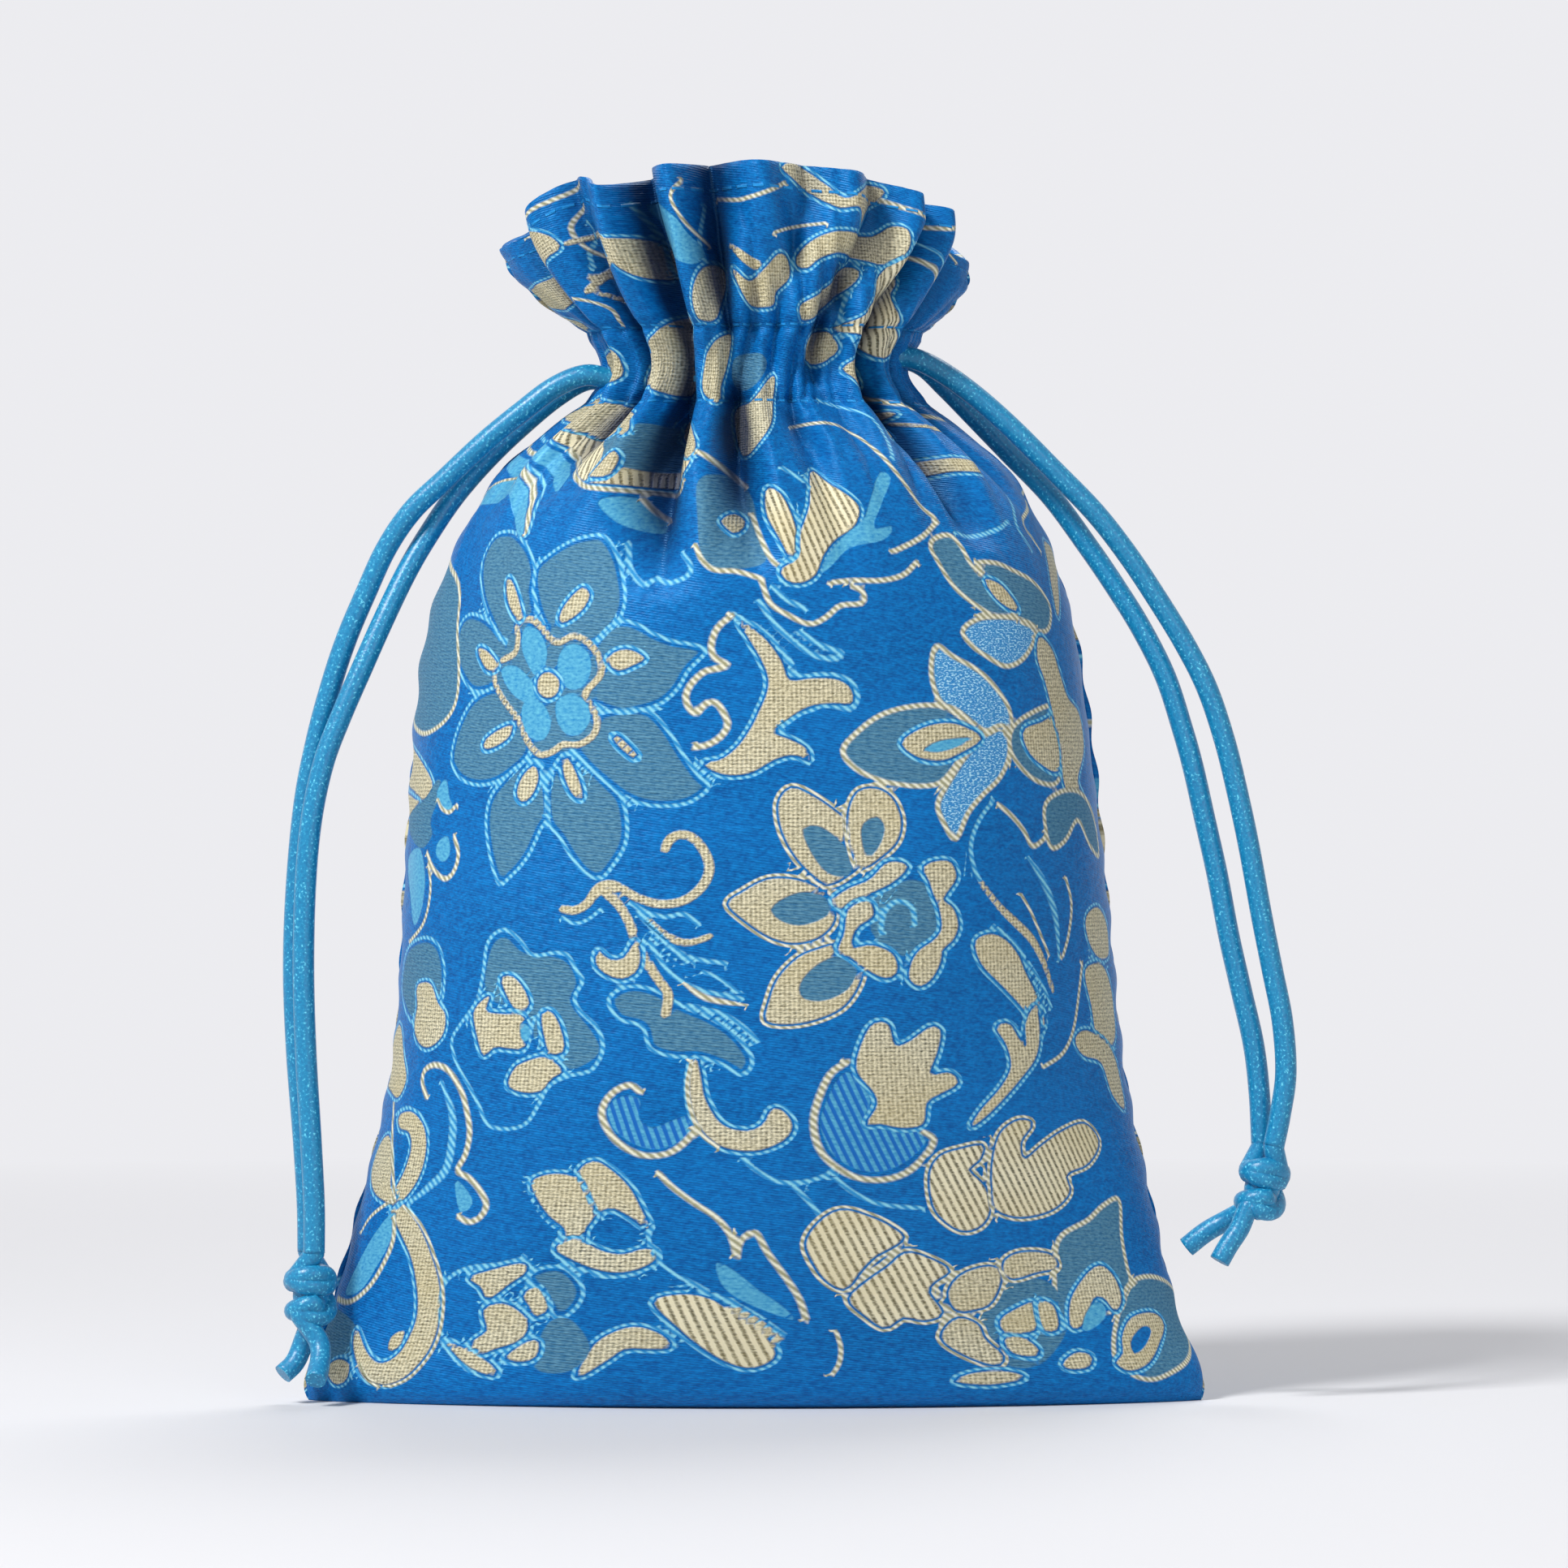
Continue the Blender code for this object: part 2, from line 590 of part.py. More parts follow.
def wrap(name, middle, tilt):
    """One turn of the cord round the knot."""
    around, sides = 14, 6
    reach = KNOT_WIDTH / 2 - CORD_RADIUS
    mesh = bpy.data.meshes.new(name)
    bm = bmesh.new()
    rings = []
    for step in range(around):
        turn = 2 * pi * step / around
        out = Vector((cos(turn), sin(turn), 0))
        ring = []
        for side in range(sides):
            angle = 2 * pi * side / sides
            rise = Vector((0, 0, sin(angle) * CORD_RADIUS))
            ring.append(bm.verts.new(out * (reach + cos(angle) * CORD_RADIUS) + rise))
        rings.append(ring)
    for a, b in zip(rings, rings[1:] + rings[:1]):
        for i in range(sides):
            j = (i + 1) % sides
            bm.faces.new((a[i], b[i], b[j], a[j]))
    bmesh.ops.recalc_face_normals(bm, faces=bm.faces)
    turned = Matrix.LocRotScale(middle, Euler((0.0, tilt, 0.3)), None)
    bmesh.ops.transform(bm, matrix=turned, verts=bm.verts)
    bm.to_mesh(mesh)
    bm.free()
    return as_helper(new_object(name, mesh))


def knot(name, middle, lean, tails, finish):
    """Both ends of a cord tied together: a lump, two turns across it and two loose tails."""
    mesh = bpy.data.meshes.new(name)
    middle = on_route(*middle)
    size = Vector((KNOT_WIDTH - CORD_RADIUS, KNOT_DEPTH - CORD_RADIUS, KNOT_HEIGHT))
    placed = Matrix.LocRotScale(middle, Euler((0.0, lean, 0.0)), size)
    bm = bmesh.new()
    bmesh.ops.create_uvsphere(bm, u_segments=12, v_segments=8, radius=0.5, matrix=placed)
    bm.to_mesh(mesh)
    bm.free()
    mesh.shade_smooth()
    made = new_object(name, mesh, finish)
    along = Euler((0.0, lean, 0.0)).to_matrix() @ Vector((0, 0, 1))
    step_up = along * (KNOT_HEIGHT / 2 - CORD_DIAMETER) * 0.75
    combine(made, wrap(name + "_upper_turn", middle + step_up, lean + KNOT_WRAP_TILT), 'UNION')
    combine(made, wrap(name + "_lower_turn", middle - step_up / 2, lean - KNOT_WRAP_TILT), 'UNION')
    for index, points in enumerate(tails):
        combine(made, tail(name + "_tail_" + str(index + 1), middle, points), 'UNION')
    return made


def build():
    clear_scene()

    brocade = material("blue_brocade", BROCADE_BLUE, 0.42)
    brocade_back = material("blue_brocade_back", BROCADE_BLUE_BACK, 0.42)
    braid = material("turquoise_braid", CORD_TURQUOISE, 0.38)
    knotted = material("turquoise_braid_knot", KNOT_TURQUOISE, 0.38)
    front = panel("front_panel", -1, FRONT_CREASES, FRONT_HEM_DROP, brocade)
    back = panel("back_panel", 1, BACK_CREASES, BACK_HEM_DROP, brocade_back)
    left_height = CASING_HEIGHT - CORD_OFFSET
    right_height = CASING_HEIGHT + CORD_OFFSET
    cutters = (
        tunnel_cutter(),
        exit_cutter("left_exit", -1, left_height),
        exit_cutter("right_exit", 1, right_height),
    )
    for cloth in (front, back):
        for cutter in cutters:
            combine(cloth, cutter, 'DIFFERENCE')
    left_front = strand(LEFT_FRONT_STRAND, LEFT_FRONT_END, LEFT_KNOT_MIDDLE)
    left_back = strand(LEFT_BACK_STRAND, LEFT_BACK_END, LEFT_KNOT_MIDDLE)
    right_front = strand(RIGHT_FRONT_STRAND, RIGHT_FRONT_END, RIGHT_KNOT_MIDDLE)
    right_back = strand(RIGHT_BACK_STRAND, RIGHT_BACK_END, RIGHT_KNOT_MIDDLE)
    cord("left_cord", -1, left_height, left_front, left_back, braid)
    cord("right_cord", 1, right_height, right_front, right_back, braid)
    knot("left_knot", LEFT_KNOT_MIDDLE, LEFT_KNOT_LEAN, LEFT_KNOT_TAILS, knotted)
    knot("right_knot", RIGHT_KNOT_MIDDLE, RIGHT_KNOT_LEAN, RIGHT_KNOT_TAILS, knotted)


build()
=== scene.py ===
# %% [markdown]
# # A kinchaku pouch of woven brocade
# A kinchaku is a Japanese drawstring pouch: two panels of cloth sewn together, a casing round
# the neck, and two cords that draw it shut. The solid model gives every piece its place and
# size. This notebook dresses it: cloth with woven flowers, braided cords, tied knots, sewing.

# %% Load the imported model
from math import cos, pi, sin

import bmesh
import bpy
import numpy as np
from mathutils import Euler, Matrix, Vector


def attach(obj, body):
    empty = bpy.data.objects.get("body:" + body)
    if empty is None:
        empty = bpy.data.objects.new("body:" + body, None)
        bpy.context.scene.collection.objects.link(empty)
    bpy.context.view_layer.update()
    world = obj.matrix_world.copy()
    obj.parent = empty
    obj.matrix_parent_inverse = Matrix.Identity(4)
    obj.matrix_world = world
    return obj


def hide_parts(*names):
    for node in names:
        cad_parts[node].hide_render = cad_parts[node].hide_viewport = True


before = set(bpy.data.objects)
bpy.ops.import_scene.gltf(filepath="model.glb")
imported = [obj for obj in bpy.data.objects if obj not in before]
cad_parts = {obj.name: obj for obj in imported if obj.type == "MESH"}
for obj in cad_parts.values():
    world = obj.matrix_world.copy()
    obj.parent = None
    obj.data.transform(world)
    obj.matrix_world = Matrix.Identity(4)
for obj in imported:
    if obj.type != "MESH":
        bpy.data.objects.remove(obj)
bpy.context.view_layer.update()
MM = 0.001

# %% [markdown]
# ## The camera
# The photograph looks level at the pouch from its front. A picture 1932 pixels wide shows the
# pouch at 10.2 pixels to a millimetre, so a camera 0.9 m away gets the lens that gives this
# scale in the plane through the pouch's middle. Pixels of that picture turn into millimetres
# in this plane, which later places the woven flowers.

# %% Camera
PICTURE = 1932
PIXELS_PER_MM = 10.2
MIDDLE_PIXEL, FLOOR_PIXEL = 930, 1725
CAMERA_DISTANCE = 0.9

camera_data = bpy.data.cameras.new("camera")
camera = bpy.data.objects.new("camera", camera_data)
bpy.context.scene.collection.objects.link(camera)
camera_data.sensor_width = 36
camera_data.lens = 36 * CAMERA_DISTANCE / (PICTURE / PIXELS_PER_MM * MM)
camera.location = ((PICTURE / 2 - MIDDLE_PIXEL) / PIXELS_PER_MM * MM, -CAMERA_DISTANCE,
                   (FLOOR_PIXEL - PICTURE / 2) / PIXELS_PER_MM * MM)
camera.rotation_euler = (pi / 2, 0, 0)
bpy.context.scene.camera = camera
print("lens %.1f mm" % camera_data.lens)

# %% [markdown]
# ## Sizes that the solid model has
# The cloth and the cords are rebuilt finely here, so they need the same sizes as the solids
# that they replace, in metres. Three differ: the folds of the neck and of the body are deeper
# here, and the two panels overlap at their seams by a hair, where the solids stay apart.

# %% Sizes
POUCH_HEIGHT, RUFFLE_HEIGHT = 0.1482, 0.0236
CASING_HEIGHT = POUCH_HEIGHT - RUFFLE_HEIGHT
CASING_HALF_HEIGHT = 0.00435
CASING_BOTTOM = CASING_HEIGHT - CASING_HALF_HEIGHT
CASING_TOP = CASING_HEIGHT + CASING_HALF_HEIGHT
BASE_WIDTH, BASE_DEPTH = 0.1100, 0.0270
CLOTH_THICKNESS, SEAM_OVERLAP = 0.0011, 0.0002
EAR_ROUNDING, EAR_TUCK, RUFFLE_LEAN = 0.0010, 0.0017, 0.0025
NECK_LOOP_WIDTH, NECK_LOOP_DEPTH = 0.0264, 0.0148
NECK_HALF_WIDTH, NECK_HALF_DEPTH = 0.0181, 0.0123
NECK_FOLD, NECK_FLARE, FOLD_DEPTH = 0.0026, 0.0026, 0.0094
RUFFLE_WIDTH, RUFFLE_DEPTH = 0.0570, 0.0390
CORD_DIAMETER, CORD_OFFSET = 0.0026, 0.00145
KNOT_WIDTH, KNOT_DEPTH, KNOT_HEIGHT, KNOT_GAP = 0.0070, 0.0066, 0.0092, 0.0006

# share of the height up to the casing, half width, half depth, how pointed the sides are
BODY_SECTIONS = (
    (0.000, BASE_WIDTH / 2 - EAR_ROUNDING, BASE_DEPTH / 2, 1.55),
    (0.022, BASE_WIDTH / 2, BASE_DEPTH / 2 + CLOTH_THICKNESS, 1.50),
    (0.052, BASE_WIDTH / 2 - EAR_TUCK, BASE_DEPTH / 2 + 2 * CLOTH_THICKNESS, 1.45),
    (0.185, 0.0490, 0.0200, 1.30),
    (0.370, 0.0442, 0.0245, 1.12),
    (0.560, 0.0426, 0.0265, 1.04),
    (0.760, 0.0403, 0.0265, 1.00),
    (0.842, 0.0375, 0.0260, 1.00),
    (0.930, 0.0315, 0.0225, 1.00),
    (1.000, NECK_HALF_WIDTH + NECK_FLARE, NECK_HALF_DEPTH + NECK_FLARE / 2, 1.00),
)

# %% [markdown]
# ## The gathers
# Where the cords draw the cloth together it falls into creases between rounded hills. Each
# crease has a place across the panel (0 is the left seam, 1 the right seam) on the body, in
# the casing and at the hem, a depth under the casing and in the ruffle, and a height where it
# dies away. The last number says where the hill on its left lies: nearer 1 brings that hill up
# to the crease, so that the cloth folds over with a sharp edge.

# %% Crease tables
FRONT_CREASES = (
    (0.110, 0.120, 0.110, 0.29, 0.881, 0.37, 0.50),
    (0.240, 0.230, 0.240, 0.37, 0.890, 0.43, 0.50),
    (0.410, 0.360, 0.352, 1.00, 0.798, 1.07, 0.55),
    (0.505, 0.450, 0.462, 0.79, 0.815, 0.93, 0.50),
    (0.580, 0.540, 0.600, 0.26, 0.931, 0.37, 0.45),
    (0.650, 0.630, 0.715, 0.20, 0.940, 0.49, 0.50),
    (0.765, 0.740, 0.825, 0.86, 0.848, 0.51, 0.66),
    (0.890, 0.875, 0.920, 0.29, 0.890, 0.34, 0.50),
)
BACK_CREASES = (
    (0.105, 0.120, 0.100, 0.29, 0.881, 0.37, 0.50),
    (0.225, 0.240, 0.210, 0.69, 0.823, 0.66, 0.55),
    (0.350, 0.360, 0.330, 0.34, 0.898, 0.51, 0.50),
    (0.455, 0.465, 0.450, 0.89, 0.790, 0.86, 0.55),
    (0.555, 0.560, 0.570, 0.31, 0.923, 0.49, 0.50),
    (0.660, 0.650, 0.680, 0.77, 0.815, 0.74, 0.45),
    (0.780, 0.760, 0.790, 0.40, 0.873, 0.51, 0.50),
    (0.895, 0.880, 0.905, 0.31, 0.881, 0.37, 0.50),
)
# how far the hem lies below the top, as a share of the ruffle's height
FRONT_HEM_DROP = ((0.00, 0.398), (0.07, 0.364), (0.13, 0.288), (0.26, 0.059), (0.31, 0.114),
                  (0.38, 0.025), (0.52, 0.0), (0.69, 0.055), (0.80, 0.153), (0.88, 0.229),
                  (0.92, 0.390), (1.00, 0.466))
BACK_HEM_DROP = ((0.00, 0.398), (0.10, 0.263), (0.22, 0.093), (0.31, 0.051), (0.45, 0.093),
                 (0.60, 0.034), (0.76, 0.127), (0.88, 0.271), (1.00, 0.466))
print(len(FRONT_CREASES), "creases in the front,", len(BACK_CREASES), "in the back")


# %% [markdown]
# ## A smooth line through a few keys
# A curve that never overshoots its keys keeps a waist a waist and a hill a hill.

# %% Curves through keys
def through(keys, places):
    """Values at places, on a curve through (place, value) keys that never overshoots them."""
    x, y = np.array(keys, float).T
    slope = np.diff(y) / np.diff(x)
    tangent = np.zeros(len(x))
    tangent[0], tangent[-1] = slope[0], slope[-1]
    same_way = slope[:-1] * slope[1:] > 0
    both = np.where(same_way, slope[:-1] + slope[1:], 1.0)
    tangent[1:-1] = np.where(same_way, 2 * slope[:-1] * slope[1:] / both, 0.0)
    places = np.clip(places, x[0], x[-1])
    i = np.clip(np.searchsorted(x, places) - 1, 0, len(slope) - 1)
    span = x[i + 1] - x[i]
    t = (places - x[i]) / span
    return ((1 + 2 * t) * (1 - t) ** 2 * y[i] + t * (1 - t) ** 2 * span * tangent[i]
            + t * t * (3 - 2 * t) * y[i + 1] - t * t * (1 - t) * span * tangent[i + 1])


def mix(a, b, share):
    return a + (b - a) * share


# %% [markdown]
# ## The cloth's profile
# A panel is one cut of cloth: it starts at the seam under the pouch, runs out along the floor,
# up the wall, through the casing and out into the ruffle. The profile gives, for evenly spaced
# rows of cloth, the half width, half depth and height of the level section there. A moving
# average rounds the corner at the floor, as real cloth does.

# %% Rows of cloth
ROWS, COLUMNS = 270, 180


def softened(values, reach):
    """A moving average along the rows, with both ends kept."""
    padded = np.concatenate(([values[0]] * reach, values, [values[-1]] * reach))
    return np.convolve(padded, np.ones(2 * reach + 1) / (2 * reach + 1), "valid")


def cloth_rows(count):
    """Rows evenly spaced along the cloth, each with its section's sizes.

    q counts through the floor (0 to 1), the body (to 2), the casing (to 3) and the ruffle (to 4).
    """
    q = np.linspace(0, 4, 4001)
    run = np.minimum(q.astype(int), 3)
    share = q - run
    body = [np.array([(s[0], s[k]) for s in BODY_SECTIONS]) for k in (1, 2, 3)]
    w = 2 * share - 1
    flare = NECK_FLARE * np.abs(w) ** 1.5
    spread = np.sin(share * pi / 2)
    width = np.select([run == 0, run == 1, run == 2], [
        mix(BASE_WIDTH / 2 - EAR_ROUNDING - CLOTH_THICKNESS, body[0][0, 1], share),
        through(body[0], share), NECK_HALF_WIDTH + flare],
        mix(NECK_HALF_WIDTH + NECK_FLARE, RUFFLE_WIDTH / 2, spread))
    depth = np.select([run == 0, run == 1, run == 2], [
        BASE_DEPTH / 2 * share, through(body[1], share),
        NECK_HALF_DEPTH + flare * np.where(w < 0, 0.5, 1.0)],
        mix(NECK_HALF_DEPTH + NECK_FLARE, RUFFLE_DEPTH / 2, spread))
    height = np.select([run == 0, run == 1, run == 2], [
        0 * share, share * CASING_BOTTOM, mix(CASING_BOTTOM, CASING_TOP, share)],
        mix(CASING_TOP, POUCH_HEIGHT, share))
    pointed = np.select([run == 0, run == 1], [mix(1.0, 1.55, share), through(body[2], share)], 1.0)
    along = np.concatenate(([0], np.cumsum(np.hypot(np.diff(depth), np.diff(height)))))
    even = np.linspace(0, along[-1], count + 1)
    picked = {"q": np.interp(even, along, q), "along": even}
    for name, values in (("width", width), ("depth", depth), ("height", height),
                         ("pointed", pointed)):
        picked[name] = np.interp(even, along, values)
    for name in ("width", "depth", "height"):
        picked[name] = softened(picked[name], 3)
    return picked


ROW = cloth_rows(ROWS)
CLOTH_WIDTH, CLOTH_LENGTH = BASE_WIDTH / MM, ROW["along"][-1] / MM
print("cloth %.1f mm long, rows %.2f mm apart" % (CLOTH_LENGTH, CLOTH_LENGTH / ROWS))


# %% [markdown]
# ## Folding the cloth
# Every row is an ellipse-like half ring. The creases push the cloth inwards from it. A crease
# made only with a cosine looks like a wave, so its bottom is drawn a little sharper than its
# hills. Between the big creases the cords make many small ones, and the tight cloth of the
# belly has broad soft waves, which are sums of a few sines.

# %% Depth of the folds
def crease_lines(creases, height):
    """Places and depths of the creases at one height, with the hills between them."""
    found = []
    for body, casing, hem, shoulder, fade, ruffle, lean in creases:
        low = fade * CASING_BOTTOM
        place = through(((low, body), (CASING_BOTTOM, mix(casing, body, 0.2)),
                         (CASING_HEIGHT, casing),
                         (mix(CASING_TOP, POUCH_HEIGHT, 0.8), hem)), height)
        depth = through(((low, 0), (mix(low, CASING_BOTTOM, 0.75), 1.2 * shoulder * FOLD_DEPTH),
                         (CASING_BOTTOM, mix(NECK_FOLD, shoulder * FOLD_DEPTH, 0.45)),
                         (CASING_HEIGHT, NECK_FOLD),
                         (CASING_TOP, mix(NECK_FOLD, ruffle * FOLD_DEPTH, 0.3)),
                         (mix(CASING_TOP, POUCH_HEIGHT, 0.45), ruffle * FOLD_DEPTH)), height)
        found.append((float(place), float(depth), lean))
    return found


def fold_depth(creases, across, height):
    """How far the cloth lies below its hills along one row."""
    lines = crease_lines(creases, height)
    turns = [(0.0, 0.0)]
    for (a, _, _), (place, depth, lean) in zip([(0, 0, 0)] + lines[:-1], lines):
        if a:
            turns.append((mix(a, place, lean), 0.0))
        turns.append((place, depth))
    turns.append((1.0, 0.0))
    x, d = np.array(turns).T
    i = np.clip(np.searchsorted(x, across) - 1, 0, len(x) - 2)
    t = (across - x[i]) / (x[i + 1] - x[i])
    going_down = d[i + 1] > d[i]
    share = np.where(going_down, t, 1 - t)
    rounded = (1 - np.cos(pi * share)) / 2
    return np.maximum(d[i], d[i + 1]) * mix(rounded, share ** 2.4, 0.45)


# where the small forms are: height in mm, and their strength there
NEAR_THE_CORDS = ((95, 0), (104, 0.24), (109, 0.55), (113, 0.95), (118, 1.2), (124.6, 1.2),
                  (131, 1.1), (139, 0.75), (148, 0.55))
ON_THE_BELLY = ((0, 0.0), (14, 0.8), (70, 0.7), (105, 1.0), (120, 0))
# creases across a panel, and their depth in mm
FINE_CREASES = ((8, 0.62), (13, 0.42), (23, 0.18))
# waves across a panel, waves in 100 mm of height, and their depth in mm
BROAD_WAVES = ((1.3, 1.1, 0.42), (2.4, -0.9, 0.30), (3.7, 1.6, 0.16), (5.3, -2.1, 0.10))
SEAM_REACH, SEWN_REACH = 0.035, 0.7


def small_folds(seed, across, height):
    """Fine creases close to the cords, and broad waves on the belly, in metres."""
    phase = np.random.default_rng(seed).uniform(0, 2 * pi, 16)
    up = height / MM
    calm = 0.35 * min(max(up - 134, 0) / 8, 1)
    near = float(through(NEAR_THE_CORDS, up)) * (0.5 - calm + (1.5 + calm) * np.sin(pi * across))
    sway = 0.06 * (up - 120)
    bent = across + 0.012 * np.sin(2 * pi * (1.7 * across + up / 31) + phase[11])
    fine = sum(deep * (2 * np.abs(np.sin(pi * n * bent + phase[k] + sway * (k - 1) / 2)) ** 0.7 - 1)
               for k, (n, deep) in enumerate(FINE_CREASES))
    belly = float(through(ON_THE_BELLY, up))
    broad = sum(deep * np.sin(2 * pi * (n * across + m * up / 100) + phase[k + 6])
                for k, (n, m, deep) in enumerate(BROAD_WAVES))
    seams = np.exp(-(across / SEAM_REACH) ** 2) + np.exp(-((1 - across) / SEAM_REACH) ** 2)
    pucker = 0.22 * seams * np.sin(2 * pi * up / 7.5 + phase[12])
    sewn = sum(np.exp(-((up - row / MM) / SEWN_REACH) ** 2) for row in (CASING_BOTTOM, CASING_TOP))
    stitches = 1 + 0.4 * np.sin(2 * pi * 41 * across)
    return (near * (fine - 0.2) + belly * (broad - 0.6) + pucker - 0.25 * seams
            - 0.6 * sewn * stitches) * MM


# %% [markdown]
# ## One panel's shape
# The function below turns a place in the flat cloth, across and along, into a place in space.
# It can leave the folds out, which gives the plain form that the flowers are laid on, and it
# can step inwards, which gives the inner face of the cloth. At the neck the inner face steps
# in further, because the casing has a second layer, and the cords run between the two.

# %% Place of the cloth in space
def ring(across, width, depth, pointed):
    """A level half section and the way out of the cloth there."""
    turn = pi * across
    x = -width * np.cos(turn)
    y = -depth * np.abs(np.sin(turn)) ** pointed
    out = np.stack((x / width ** 2, y / max(depth, MM) ** 2), axis=-1)
    return x, y, out / np.linalg.norm(out, axis=-1, keepdims=True)


CASING_WALL, CASING_REACH = 0.0063, 1.9 * CASING_HALF_HEIGHT
CLOTH_STEP, FLOOR_LIFT, HIGHEST_HILL = 0.0009, 0.03, 0.0021
# height, and how deep in mm a fold there must lie to get the full painted shade in its colour
FULL_SHADE_DEPTHS = ((0.095, 7.6), (0.112, 7.4), (0.119, 3.8), (0.131, 3.8), (0.140, 6.4),
                 (0.148, 7.6))
# painted shade: how deep each point lies in a fold, which darkens the brocade's colour there
PAINTED_VALLEY_SHADE = np.zeros((ROWS + 1, COLUMNS + 1))  # 1 in a full valley; the shader reads it


def cloth_points(side, creases, hem_drop, seed, folded=True, inset=0.0):
    """Points of one panel, rows by columns. Side is -1 for the front and 1 for the back."""
    across = np.linspace(0, 1, COLUMNS + 1)
    drop = through(hem_drop, across)
    points = np.zeros((ROWS + 1, COLUMNS + 1, 3))
    for r in range(ROWS + 1):
        q, height = ROW["q"][r], ROW["height"][r]
        wall = np.exp(-((height - CASING_HEIGHT) / CASING_REACH) ** 4) if inset else 0
        step = inset + wall * CASING_WALL
        width, depth = ROW["width"][r] - step, max(ROW["depth"][r] - step, 0)
        x, y, out = ring(across, width, depth, ROW["pointed"][r])
        if folded and q > 1:
            in_by = fold_depth(creases, across, height)
            in_by = np.maximum(in_by - small_folds(seed, across, height), -HIGHEST_HILL)
            in_by = in_by * (1 - 0.9 * wall)
            # the fold's depth is kept for the painted shade in the valleys
            if not inset:
                PAINTED_VALLEY_SHADE[r] = in_by / float(through(FULL_SHADE_DEPTHS, height)) / MM
            x, y = x - out[:, 0] * in_by, y - out[:, 1] * in_by
        if q > 3:
            x = x - RUFFLE_LEAN * (q - 3)
            height = mix(CASING_TOP, POUCH_HEIGHT - RUFFLE_HEIGHT * drop, q - 3)
        points[r, :, 0] = x
        points[r, :, 1] = -side * np.minimum(y, 0) - side * SEAM_OVERLAP / 2
        points[r, :, 2] = height + inset * max(0, 1 - ROW["height"][r] / FLOOR_LIFT)
    return points


# %% [markdown]
# ## Making the panel's mesh
# create_grid makes a flat cut of cloth with even squares. It gets its UV map while it is flat,
# in fifths of a metre, so that the weave follows the thread. Then its points move to their
# places, the sheet is copied for the inner face, and bridge_loops closes the edge all round.

# %% Panel meshes
UV_METRES = 0.2


def link(name, mesh):
    made = bpy.data.objects.new(name, mesh)
    bpy.context.scene.collection.objects.link(made)
    return made


def cloth_panel(name, side, creases, hem_drop, seed):
    outer = cloth_points(side, creases, hem_drop, seed)
    painted_shade_values = np.clip(PAINTED_VALLEY_SHADE, 0, 1).ravel()
    inner = cloth_points(side, creases, hem_drop, seed, inset=CLOTH_STEP)
    bm = bmesh.new()
    made = bmesh.ops.create_grid(bm, x_segments=COLUMNS, y_segments=ROWS, size=0.5)
    index = {}
    for v in made["verts"]:
        c, r = round((v.co.x + 0.5) * COLUMNS), round((v.co.y + 0.5) * ROWS)
        index[v] = (r, c)
    uv = bm.loops.layers.uv.new("cloth")
    for face in bm.faces:
        for loop in face.loops:
            r, c = index[loop.vert]
            loop[uv].uv = (c / COLUMNS * BASE_WIDTH / UV_METRES, ROW["along"][r] / UV_METRES)
    for v, (r, c) in index.items():
        v.co = outer[r, c]
    edge = [e for e in bm.edges if e.is_boundary]
    copy = bmesh.ops.duplicate(bm, geom=list(bm.verts) + list(bm.edges) + list(bm.faces))
    for old, new in copy["vert_map"].items():
        if old in index and new.is_valid:
            new.co = inner[index[old]]
    lining = [f for f in copy["geom"] if isinstance(f, bmesh.types.BMFace)]
    bmesh.ops.reverse_faces(bm, faces=lining)
    edge += [e for e in copy["geom"] if isinstance(e, bmesh.types.BMEdge) and e.is_boundary]
    bmesh.ops.bridge_loops(bm, edges=edge)
    if side > 0:
        bmesh.ops.reverse_faces(bm, faces=bm.faces)
    for face in bm.faces:
        face.smooth = True
    mesh = bpy.data.meshes.new(name)
    bm.to_mesh(mesh)
    bm.free()
    # painted shade of the valleys, for the brocade's colour, on both faces
    layer = mesh.attributes.new("painted_fold_shade", 'FLOAT', 'POINT')
    layer.data.foreach_set("value", np.tile(painted_shade_values, 2).astype(np.float32))
    print(name, len(mesh.vertices), "points,", 2 * len(mesh.polygons), "triangles")
    return link(name, mesh)


front = cloth_panel("front_cloth", -1, FRONT_CREASES, FRONT_HEM_DROP, 3)
back = cloth_panel("back_cloth", 1, BACK_CREASES, BACK_HEM_DROP, 8)
for piece, node in ((front, "front_panel"), (back, "back_panel")):
    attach(piece, "root")
    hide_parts(node)
    CLOTH_WIDTH * MM
    CLOTH_LENGTH * MM

# %% [markdown]
# ## The cords
# Each drawcord is one braid. It comes up from its knot, goes round the neck inside the casing
# and hangs down again to the same knot. Its two free strands hang under their own weight along
# the route that the solid model has. The places are across and back in millimetres, and up as
# a share of the casing's height.

